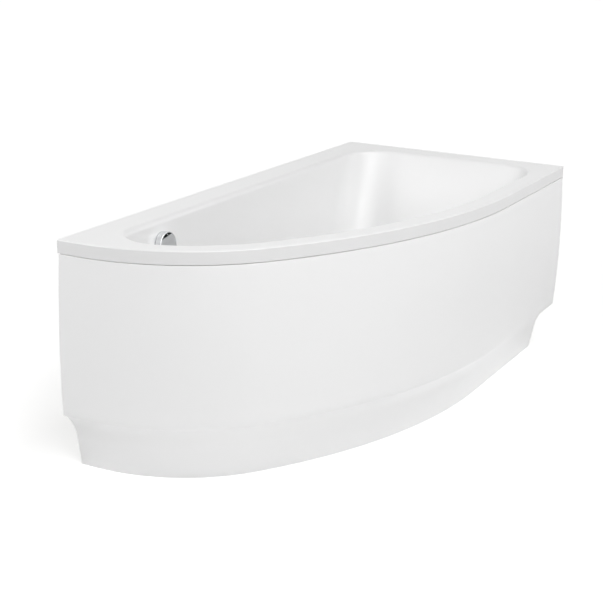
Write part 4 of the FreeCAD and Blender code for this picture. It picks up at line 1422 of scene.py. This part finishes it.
# --- Overflow and waste ----------------------------------------------------------------------
@dataclass
class OverflowSet:
    """The turning cap with its opening, its ring, the corrugated pipe and the control cable."""

    # Sections are pairs of radius and distance along the axis.
    SPINDLE = ((3.4, -20.0), (4.0, -19.4))
    FACE_RADII = (20.0, 8.0)
    RING = (
        (20.5, -5.6), (20.9, -6.0), (23.1, -6.0), (23.5, -5.6), (23.5, 0.4), (34.1, 0.4),
        (34.5, 0.8), (34.5, 2.4), (34.3, 2.9), (33.8, 3.2), (20.9, 3.2), (20.5, 2.8))
    EDGE = 0.4
    WAVE_STEPS, WAVE_SHAPE = 6, 0.6

    plan: BathPlan
    radius: float = 34.5
    skin: float = 2.5
    face: float = 20.0
    rear: float = 4.0
    rounding: float = 1.5
    opening_edge: float = 23.5
    opening_side: float = 9.5
    rebate: float = 0.2
    clearance: float = 1.0
    segments: int = 96
    behind: float = 23.6
    pitch: float = 5.0
    cuff: float = 26.0
    pipe_radii: tuple[float, float, float] = (13.0, 13.8, 15.0)
    pipe_drop: float = 38.0
    pipe_bend: float = 240.0
    pipe_low: float = 118.0
    pipe_goal: float = 62.0
    cable_radii: tuple[float, float] = (2.6, 3.0)
    cable_start: Point = (-26.0, 6.0, -26.0)
    cable_bends: tuple[tuple[float, float], ...] = ((-4.0, 300.0), (2.0, 150.0))
    cable_turn: tuple[float, float] = (-26.0, -45.0)
    cable_goal: tuple[float, float] = (-22.0, 33.0)
    cable_low: float = 112.0
    ferrule: float = 12.0

    @property
    def elbow(self) -> Vector:
        """The place behind the wall that the pipe and the cable come down from."""
        axis = self.plan.overflow_axis()
        return axis.origin + axis.along * -self.behind

    def sleeves(self, total: float, radius: float, length: float) -> tuple[Profile, Profile]:
        """Stations of a plain sleeve at each end of a tube.

        Args:
            total: The tube's length.
            radius: The sleeves' radius.
            length: The sleeves' length.

        Returns:
            The first sleeve's stations and the last one's, both in the order along the tube.
        """
        first = [(0.0, radius - self.EDGE), (self.EDGE, radius), (length, radius)]
        return first, [(total - distance, size) for distance, size in first[::-1]]

    def knob(self) -> bpy.types.Object:
        """The cap on its spindle, with the opening in its face.

        Returns:
            The cap.
        """
        axis, face = self.plan.overflow_axis(), self.face
        outer, inner = self.radius, self.radius - self.skin
        back, rear, edge = face - self.skin, self.rear, self.EDGE
        profile = [*self.SPINDLE, (self.SPINDLE[-1][0], back), (inner, back), (inner, rear + 0.5)]
        profile += [(inner + edge, rear), (outer - edge, rear), (outer, rear + edge)]
        for turn in spread(0.0, math.pi / 2.0, 6):
            radius = outer - self.rounding * (1.0 - math.cos(turn))
            profile.append((radius, face - self.rounding * (1.0 - math.sin(turn))))
        maker = MeshMaker("overflow_cap")
        maker.revolve(axis, profile + [(radius, face) for radius in self.FACE_RADII], self.segments)
        cap = maker.finish()
        reach = inner - self.rebate
        half_turn = math.acos(self.opening_edge / reach)
        middle = math.radians(self.opening_side)
        turns = spread(middle - half_turn, middle + half_turn, 31)
        segment = [axis.point(reach, back - self.clearance, turn) for turn in turns]
        cutter = MeshMaker("opening")
        cutter.extrude(segment, axis.along * (self.skin + 2.0 * self.clearance))
        cut_away(cap, cutter.finish())
        return cap

    def ring(self) -> bpy.types.Object:
        """The chrome ring with its neck through the wall.

        Returns:
            The ring.
        """
        maker = MeshMaker("overflow_ring")
        maker.revolve(self.plan.overflow_axis(), self.RING, self.segments, closed=True)
        return maker.finish()

    def pipe(self) -> bpy.types.Object:
        """The corrugated pipe, smooth at its two cuffs.

        Returns:
            The pipe.
        """
        top, (x, y) = self.elbow, self.plan.waste
        places = [(top.x, top.y, top.z - self.pipe_drop), (top.x, top.y, self.pipe_bend)]
        places += [(x, top.y, self.pipe_low), (x, y + self.pipe_goal, self.pipe_low)]
        path = BentPath([Vector(place) for place in places])
        total = path.marks[-1]
        inner, low, high = self.pipe_radii
        ribbed = total - 2.0 * self.cuff
        count = round(ribbed / self.pitch * self.WAVE_STEPS)
        waves = []
        for index in range(count + 1):
            share = 0.5 - 0.5 * math.cos(math.tau * index / self.WAVE_STEPS)
            distance = self.cuff + ribbed * index / count
            waves.append((distance, low + (high - low) * share ** self.WAVE_SHAPE))
        first, last = self.sleeves(total, high, self.cuff - 1.0)
        maker = MeshMaker("overflow_corrugated_pipe")
        outside = tube(maker, path, first + waves + last, 40)
        inside = tube(maker, path, [(mark, inner) for mark in spread(0.0, total, 60)], 40)
        maker.skin(outside + inside[::-1], closed=True)
        return maker.finish(50.0)

    def cable(self) -> bpy.types.Object:
        """The sheathed cable with a ferrule at each end.

        Returns:
            The cable.
        """
        x, y, z = (value + step for value, step in zip(self.elbow, self.cable_start))
        waste_x, waste_y = self.plan.waste
        places = [(x, y, z)] + [(x + aside, y, height) for aside, height in self.cable_bends]
        places += [(waste_x + self.cable_turn[0], y + self.cable_turn[1], self.cable_low)]
        places += [(waste_x + self.cable_goal[0], waste_y + self.cable_goal[1], self.cable_low)]
        path = BentPath([Vector(place) for place in places])
        total = path.marks[-1]
        thin, thick = self.cable_radii
        start = self.ferrule + self.EDGE
        run = [(mark, thin) for mark in spread(start, total - self.ferrule - self.EDGE, 90)]
        first, last = self.sleeves(total, thick, self.ferrule)
        maker = MeshMaker("sheathed_cable")
        maker.tipped(tube(maker, path, first + run + last, 20))
        return maker.finish(45.0)

    def build(self, wardrobe: Wardrobe) -> None:
        """Make the set.

        Args:
            wardrobe: Where it gets its finishes.
        """
        wardrobe.hand_over(self.knob(), Slot.CHROME, Body.KNOB, "overflow_knob")
        wardrobe.hand_over(self.ring(), Slot.CHROME, Body.BATH, "overflow_flange")
        wardrobe.hand_over(self.pipe(), Slot.POLYPROPYLENE, Body.BATH, "overflow_pipe")
        wardrobe.hand_over(self.cable(), Slot.SHEATH, Body.BATH, "control_cable")


@dataclass
class WasteSet:
    """The pop-up cap on its stem, and the ribbed nut on the trap's outlet."""

    # Sections are pairs of radius and distance along the axis.
    STEM = (
        (3.3, -48.0), (4.0, -47.3), (4.0, -6.0), (11.4, -6.0), (11.9, -5.5), (11.9, 4.6),
        (29.6, 4.6), (30.0, 5.0))
    DOME_RADII = (22.0, 15.0, 8.0, 2.0)
    NUT = (
        (24.3, 0.0), (29.0, 0.0), (31.0, 1.6), (31.0, 17.0), (29.4, 19.0), (27.0, 22.0),
        (19.3, 22.0), (19.3, 18.3), (24.3, 18.3))
    RIB_STEPS = 6

    plan: BathPlan
    flat: float = 27.0
    rim: float = 5.5
    top: float = 9.0
    crown: float = 3.0
    dome: float = 0.5
    rib: float = 1.4
    nut_ribs: int = 24
    nut_start: float = 48.0
    outlet_z: float = 64.0

    def plug(self) -> bpy.types.Object:
        """The cap, barely domed, with its hub and stem.

        Returns:
            The cap.
        """
        base = upright(*self.plan.waste, self.plan.floor)
        profile = list(self.STEM)
        for turn in spread(0.0, math.pi / 2, 7):
            radius = self.flat + self.crown * math.cos(turn)
            profile.append((radius, self.rim + self.crown * math.sin(turn)))
        for radius in self.DOME_RADII:
            profile.append((radius, self.top - self.dome * (radius / self.flat) ** 2))
        maker = MeshMaker("waste_cap")
        maker.revolve(base, profile, segments=96)
        return maker.finish()

    def nut(self) -> bpy.types.Object:
        """The nut on the trap's outlet, with grip ribs.

        Returns:
            The nut.
        """
        x, y = self.plan.waste
        axis = Axis(Vector((x, y + self.nut_start, self.outlet_z)), ALONG_Y, UP)
        turns = full_turn(self.nut_ribs * self.RIB_STEPS)
        widest = max(radius for radius, _ in self.NUT)
        maker = MeshMaker("outlet_union_nut")
        rings = []
        for radius, out in self.NUT:
            points = []
            for index, turn in enumerate(turns):
                grooved = radius == widest and index % self.RIB_STEPS >= self.RIB_STEPS / 2
                points.append(axis.point(radius - self.rib if grooved else radius, out, turn))
            rings.append(maker.ring(points))
        maker.skin(rings, closed=True)
        return maker.finish()

    def build(self, wardrobe: Wardrobe) -> None:
        """Make the set.

        Args:
            wardrobe: Where it gets its finishes.
        """
        wardrobe.hand_over(self.plug(), Slot.CHROME, Body.PLUG, "waste_plug")
        wardrobe.hand_over(self.nut(), Slot.POLYPROPYLENE, Body.BATH, "outlet_nut")


# --- Leg frame -------------------------------------------------------------------------------
@dataclass
class LegFrame:
    """Pressed rails, threaded rods, nuts, screws and feet, and the brackets of pressed sheet."""

    RAILS = (("wide", -480.0), ("narrow", -1060.0))
    FEET = (
        (Body.WIDE_BACK, "wide_back", -480.0, -110.0),
        (Body.WIDE_FRONT, "wide_front", -480.0, -585.0),
        (Body.NARROW_BACK, "narrow_back", -1060.0, -110.0),
        (Body.NARROW_FRONT, "narrow_front", -1060.0, -452.0),
    )
    # Each bracket's middle at the flange's lower edge, and the directions along and off the wall.
    BRACKETS = (
        ("wide_end", (-330.0, 0.0, 538.0), ALONG_X, -ALONG_Y),
        ("narrow_end", (-1180.0, 0.0, 538.0), ALONG_X, -ALONG_Y),
        ("end_wall", (0.0, -350.0, 510.0), ALONG_Y, -ALONG_X),
    )
    SCREW_SHARES = (0.33, 0.49, 0.65)
    # Sections are pairs of radius and distance along the axis.
    SCREW_HEAD = (
        (1.0, -0.9), (1.5, -0.9), (1.5, -2.2), (3.2, -2.2), (4.1, -1.6), (4.5, -0.8),
        (4.5, 0.0), (1.9, 0.0))
    SCREW_TIP = ((1.4, 13.2), (0.3, 14.0))
    FOOT_DISC = (
        (8.0, 0.0), (8.0, 1.2), (20.5, 1.2), (21.0, 0.0), (22.5, 0.0), (23.6, 0.4), (24.0, 1.4),
        (24.0, 4.5), (23.6, 5.6), (22.5, 6.0), (19.0, 6.0))
    FOOT_SOCKET = ((10.0, 22.0), (5.6, 22.0), (5.1, 21.5), (5.1, 6.2))
    ROD_SPAN = (6.5, 137.0)

    rail_top: float = 124.9
    rail_width: float = 30.0
    rail_height: float = 25.0
    sheet: float = 2.0
    overhang: float = 26.0
    rod_hole: float = 5.4
    screw_hole: float = 2.3
    rod_radius: float = 5.0
    thread_pitch: float = 1.5
    thread_depth: float = 0.75
    flats: float = 17.0
    nut_height: float = 7.5
    nut_round: float = 8.6
    nut_slope: float = 0.577
    nut_widest: float = 9.7
    nut_bore: float = 5.15
    pad_ribs: int = 8
    bracket_gap: float = 0.5
    bracket_width: float = 60.0
    bracket_drop: float = 52.0
    bracket_hook: tuple[float, float] = (12.0, 14.0)
    bracket_hole: float = 3.2

    def rail(self, name: str, x: float) -> tuple[bpy.types.Object, list[Vector]]:
        """A rail of pressed channel with its holes.

        Args:
            name: The object's name.
            x: The rail's place along the bath.

        Returns:
            The rail, and the places of its screws at its top.
        """
        back, front = (y for _, _, foot_x, y in self.FEET if foot_x == x)
        side = (self.rail_width - self.sheet) / 2.0
        low, high = self.rail_top - self.rail_height, self.rail_top - self.sheet / 2.0
        start = front - self.overhang
        corners = [(-side, low), (-side, high), (side, high), (side, low)]
        path = BentPath([Vector((x + across, start, z)) for across, z in corners], self.sheet)
        maker = MeshMaker(name)
        maker.extrude(path.sheet(self.sheet, ALONG_Y), ALONG_Y * (back - front + 2.0 * self.overhang))
        rail = maker.finish()
        across = [between((back, front), share) for share in self.SCREW_SHARES]
        screws = [Vector((x, y, self.rail_top)) for y in across]
        holes = [(upright(x, y, self.rail_top), self.rod_hole) for y in (back, front)]
        holes += [(upright(*place), self.screw_hole) for place in screws]
        drill(rail, holes, -5.0, 5.0)
        return rail, screws

    def screws(self, places: Sequence[Vector]) -> bpy.types.Object:
        """Pan-head screws with a six-lobed recess, driven upwards.

        Args:
            places: Where each passes the rail's top.

        Returns:
            The screws, as one object.
        """
        maker = MeshMaker("pan_head_screws")
        profile = list(self.SCREW_HEAD)
        for turn in range(8):
            profile += [(1.5, 1.2 + 1.5 * turn), (2.0, 1.9 + 1.5 * turn)]
        profile += self.SCREW_TIP
        turns = full_turn(48)
        for place in places:
            axis = upright(place.x, place.y, place.z - self.sheet - 0.05)
            rings = []
            for number, (radius, out) in enumerate(profile):
                lobes = 0.3 if number < 3 else 0.0
                rings.append(maker.ring(
                    axis.point(radius + lobes * math.cos(6 * t), out, t) for t in turns))
            maker.tipped(rings)
        return maker.finish()

    def rod(self, name: str, x: float, y: float) -> bpy.types.Object:
        """A threaded rod.

        Args:
            name: The object's name.
            x: Its place along the bath.
            y: Its place across the bath.

        Returns:
            The rod.
        """
        sides, rows, (low, high) = 24, 6, self.ROD_SPAN
        axis = upright(x, y)
        maker = MeshMaker(name)
        count = round((high - low) / self.thread_pitch * rows)
        rings = []
        for row in range(count + 1):
            z = low + (high - low) * row / count
            taper = max(0.0, 1.0 - min(z - low, high - z))
            points = []
            for index in range(sides):
                turn = index / sides
                crest = abs(((z / self.thread_pitch - turn) % 1.0) * 2.0 - 1.0)
                radius = self.rod_radius - max(self.thread_depth * crest, taper)
                points.append(axis.point(radius, z, math.tau * turn))
            rings.append(maker.ring(points))
        maker.tipped(rings)
        return maker.finish(60.0)

    def nuts(self) -> bpy.types.Object:
        """Chamfered nuts above and below the rails.

        Returns:
            The nuts, as one object.
        """
        turns, height, rounding = full_turn(48), self.nut_height, self.nut_round
        bore, mouth, chamfer = self.nut_bore, self.nut_bore + 0.55, 0.5
        wide = []
        for t in turns:
            flat = self.flats / 2.0 / math.cos(t % (math.pi / 3) - math.pi / 6)
            radius = min(flat, self.nut_widest)
            wide.append((radius, max(0.0, radius - rounding) * self.nut_slope, t))
        maker = MeshMaker("chamfered_nuts")
        for _, _, x, y in self.FEET:
            for z in (self.rail_top + 0.1, self.rail_top - self.sheet - 0.1 - height):
                axis = upright(x, y, z)
                rings = [
                    maker.ring(axis.point(bore, chamfer, t) for t in turns),
                    maker.ring(axis.point(mouth, 0.0, t) for t in turns),
                    maker.ring(axis.point(min(r, rounding), 0.0, t) for r, _, t in wide),
                    maker.ring(axis.point(r, drop, t) for r, drop, t in wide),
                    maker.ring(axis.point(r, height - drop - 0.001, t) for r, drop, t in wide),
                    maker.ring(axis.point(min(r, rounding), height, t) for r, _, t in wide),
                    maker.ring(axis.point(mouth, height, t) for t in turns),
                    maker.ring(axis.point(bore, height - chamfer, t) for t in turns),
                ]
                maker.skin(rings, closed=True)
        return maker.finish()

    def pad(self, name: str, x: float, y: float) -> bpy.types.Object:
        """A moulded foot: a disc, a neck with webs round it, and a socket.

        Args:
            name: The object's name.
            x: Its place along the bath.
            y: Its place across the bath.

        Returns:
            The foot.
        """
        sides = 96
        per_rib = sides // self.pad_ribs
        axis = upright(x, y)
        maker = MeshMaker(name)
        neck = [(18.6 - 8.2 * share, 6.3 + 14.9 * share) for share in spread(0.0, 1.0, 6)]
        rings = []
        for radius, out in [*self.FOOT_DISC, *neck, *self.FOOT_SOCKET]:
            webbed = 6.2 < out < 21.0 and radius > 6.0
            points = []
            for index, turn in enumerate(full_turn(sides)):
                between_webs = webbed and 1 < index % per_rib < per_rib - 1
                points.append(axis.point(min(radius, 10.6) if between_webs else radius, out, turn))
            rings.append(maker.ring(points))
        maker.tipped(rings)
        return maker.finish()

    def wall_bracket(self, name: str, place: Vector, across: Vector, out: Vector) -> bpy.types.Object:
        """A hanging bracket of bent sheet, with two screw holes.

        Args:
            name: The object's name.
            place: The bracket's middle on the wall, at the flange's lower edge.
            across: Direction along the wall.
            out: Direction away from the wall.

        Returns:
            The bracket.
        """
        shelf, middle, (reach, rise) = self.bracket_gap, self.sheet / 2.0, self.bracket_hook
        corners = [(middle, -shelf - self.bracket_drop), (middle, -shelf - middle)]
        corners += [(reach - middle, -shelf - middle), (reach - middle, rise - shelf)]
        start = place - across * (self.bracket_width / 2.0)
        path = BentPath([start + out * away + UP * z for away, z in corners], self.sheet)
        maker = MeshMaker(name)
        maker.extrude(path.sheet(self.sheet, across), across * self.bracket_width)
        bracket = maker.finish()
        level = UP * (shelf + self.bracket_drop / 2.0)
        middles = [place + across * side - level for side in (-18.0, 18.0)]
        drill(bracket, [(Axis(point, out, UP), self.bracket_hole) for point in middles], -2.0, 4.0)
        return bracket

    def build(self, wardrobe: Wardrobe) -> None:
        """Make the frame.

        Args:
            wardrobe: Where it gets its finishes.
        """
        places = []
        for end, x in self.RAILS:
            rail, screws = self.rail(f"pressed_rail_{end}", x)
            places += screws
            wardrobe.hand_over(rail, Slot.ZINC_STEEL, Body.BATH, f"leg_rail_{end}_end")
        wardrobe.hand_over(self.screws(places), Slot.FASTENERS, Body.BATH, "rail_screws")
        wardrobe.hand_over(self.nuts(), Slot.FASTENERS, Body.BATH, "rod_nuts")
        for body, foot, x, y in self.FEET:
            rod, pad = self.rod(f"threaded_rod_{foot}", x, y), self.pad(f"ribbed_foot_{foot}", x, y)
            wardrobe.hand_over(rod, Slot.FASTENERS, body, f"foot_rod_{foot}")
            wardrobe.hand_over(pad, Slot.BLACK_PLASTIC, body, f"foot_pad_{foot}")
        for end, place, across, out in self.BRACKETS:
            bracket = self.wall_bracket(f"hanging_bracket_{end}", Vector(place), across, out)
            wardrobe.hand_over(bracket, Slot.ZINC_STEEL, Body.BATH, f"wall_bracket_{end}")


@dataclass
class CarriedOver:
    """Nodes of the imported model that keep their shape, with their edges eased."""

    EASED = {
        Slot.CHIPBOARD: 0.6,
        Slot.ZINC_STEEL: 0.3,
        Slot.SPRING_STEEL: 0.25,
        Slot.POLYPROPYLENE: 0.35,
    }

    def build(self, wardrobe: Wardrobe) -> None:
        """Dress every node that is still shown.

        Args:
            wardrobe: Where they get their finishes.
        """
        slots = {part["node"]: part["material_slot"] for part in frame["record"]["subparts"]}
        for name, node in frame["nodes"].items():
            if node.hide_render:
                continue
            slot = Slot(slots[name])
            wardrobe.dress(node, slot)
            if slot in self.EASED:
                weld = node.modifiers.new("joined_faces", "WELD")
                weld.merge_threshold = 0.001 * MM
                ease = node.modifiers.new("eased_edges", "BEVEL")
                ease.width = self.EASED[slot] * MM
                ease.segments = 2
                ease.limit_method = "ANGLE"
                ease.angle_limit = math.radians(40.0)
                ease.harden_normals = True
            LOG.info("%s: %s, carried over", name, slot.value)


# --- Studio ----------------------------------------------------------------------------------
@dataclass
class PhotoCamera:
    """The photograph's camera."""

    position: Point = (-3.144038, -1.533196, 1.346232)
    forward: Point = (0.847211, 0.445259, -0.289789)
    up: Point = (0.245304, 0.155978, 0.956816)
    focal_pixels: float = 1378.4968
    image_pixels: float = 603.0
    sensor: float = 36.0

    def build(self) -> None:
        """Make the camera and give it to the scene."""
        data = bpy.data.cameras.new("photo_camera")
        data.sensor_width = self.sensor
        data.lens = self.focal_pixels * self.sensor / self.image_pixels
        data.clip_end = 100.0
        camera = bpy.data.objects.new("photo_camera", data)
        forward = Vector(self.forward).normalized()
        right = forward.cross(Vector(self.up)).normalized()
        up = right.cross(forward)
        turn = Matrix((right, up, -forward)).transposed()
        camera.matrix_world = Matrix.Translation(self.position) @ turn.to_4x4()
        show(camera)
        bpy.context.scene.camera = camera


@dataclass
class SoftLamp:
    """One large square lamp, aimed at a point."""

    name: str
    place: Point
    power: float
    aim: Point = (0.0, 0.0, 0.3)
    side: float = 2.8

    def build(self) -> None:
        """Make the lamp."""
        data = bpy.data.lights.new(self.name, "AREA")
        data.shape = "SQUARE"
        data.size = self.side
        data.energy = self.power
        lamp = bpy.data.objects.new(self.name, data)
        lamp.location = self.place
        aim = Vector(self.aim) - Vector(self.place)
        lamp.rotation_euler = aim.to_track_quat("-Z", "Y").to_euler()
        show(lamp)


@dataclass
class Studio:
    """Pale floor, soft lamps, plain surroundings and the photograph's camera."""

    floor_half: float = 40.0
    floor_colour: Colour = (0.92, 0.92, 0.92)
    floor_roughness: float = 0.9
    ambient: float = 0.0
    floor_lift: float = 0.5
    fade: tuple[float, float] = (1.6, 5.0)
    lamps: list[SoftLamp] = field(default_factory=lambda: [
        SoftLamp("back_lamp", (0.0, 3.9, 2.55), 25.0),
        SoftLamp("back_left_lamp", (-2.756, 2.756, 2.55), 73.0),
        SoftLamp("front_left_lamp", (-2.756, -2.756, 2.55), 85.0),
        SoftLamp("high_front_lamp", (0.0, -2.25, 4.2), 80.0),
        SoftLamp("front_right_lamp", (2.756, -2.756, 2.55), 18.0),
    ])

    def seen_or_mirrored(self, graph: Graph) -> bpy.types.NodeSocket:
        """1 for rays from the camera, from a mirror or through glass, else 0.

        Args:
            graph: The graph to wire in.

        Returns:
            The value's output.
        """
        path = graph.add("ShaderNodeLightPath").outputs
        seen = graph.math("MAXIMUM", path["Is Camera Ray"], path["Is Glossy Ray"])
        return graph.math("MAXIMUM", seen, path["Is Transmission Ray"])

    def surroundings(self) -> None:
        """White behind the object. The room itself lights it only as much as ambient says."""
        world = bpy.data.worlds.new("soft_room")
        world.use_nodes = True
        graph = Graph(world.node_tree)
        light = graph.add("ShaderNodeBackground")
        light.inputs["Strength"].default_value = self.ambient
        white = graph.add("ShaderNodeBackground")
        mix = graph.add("ShaderNodeMixShader")
        for background in (light, white):
            graph.feed(background.inputs["Color"], WHITE)
        graph.link(self.seen_or_mirrored(graph), mix.inputs["Fac"])
        graph.link(light.outputs[0], mix.inputs[1])
        graph.link(white.outputs[0], mix.inputs[2])
        leave = graph.add("ShaderNodeOutputWorld")
        graph.link(mix.outputs[0], leave.inputs["Surface"])
        bpy.context.scene.world = world

    def floor(self) -> None:
        """A wide pale floor that looks white and keeps the object's shadow."""
        mesh = bpy.data.meshes.new("studio_floor")
        half = self.floor_half
        corners = [(-half, -half, 0.0), (half, -half, 0.0), (half, half, 0.0), (-half, half, 0.0)]
        mesh.from_pydata(corners, [], [(0, 1, 2, 3)])
        floor = bpy.data.objects.new("studio_floor", mesh)
        show(floor)
        material = bpy.data.materials.new("pale floor")
        material.use_nodes = True
        graph = Graph(material.node_tree)
        paint = graph.add("ShaderNodeBsdfPrincipled")
        for entry, value in (
            ("Base Color", self.floor_colour), ("Roughness", self.floor_roughness),
            ("Specular IOR Level", 0.0), ("Emission Color", WHITE),
        ):
            graph.feed(paint.inputs[entry], value)
        away = graph.add("ShaderNodeVectorMath", operation="LENGTH")
        graph.link(graph.place(), away.inputs[0])
        fade = graph.remap(away.outputs["Value"], *self.fade, self.floor_lift, 1.0)
        lift = graph.math("MULTIPLY", self.seen_or_mirrored(graph), fade)
        graph.link(lift, paint.inputs["Emission Strength"])
        leave = graph.add("ShaderNodeOutputMaterial")
        graph.link(paint.outputs["BSDF"], leave.inputs["Surface"])
        mesh.materials.append(material)

    def build(self) -> None:
        """Set up the whole studio."""
        bpy.context.scene.view_settings.view_transform = "Standard"
        PhotoCamera().build()
        self.surroundings()
        self.floor()
        for lamp in self.lamps:
            lamp.build()
        LOG.info("studio: floor, %d lamps and the photograph's camera", len(self.lamps))


def main() -> None:
    """Build the studio, then the bath piece by piece."""
    logging.basicConfig(level=logging.INFO, format="%(message)s")
    wardrobe, plan = Wardrobe(), BathPlan()
    Studio().build()
    AcrylicShell(plan).build(wardrobe)
    GlassFibreLayer(plan).build(wardrobe)
    FrontPanel(plan).build(wardrobe)
    OverflowSet(plan).build(wardrobe)
    WasteSet(plan).build(wardrobe)
    LegFrame().build(wardrobe)
    CarriedOver().build(wardrobe)


if __name__ == "__main__":
    main()
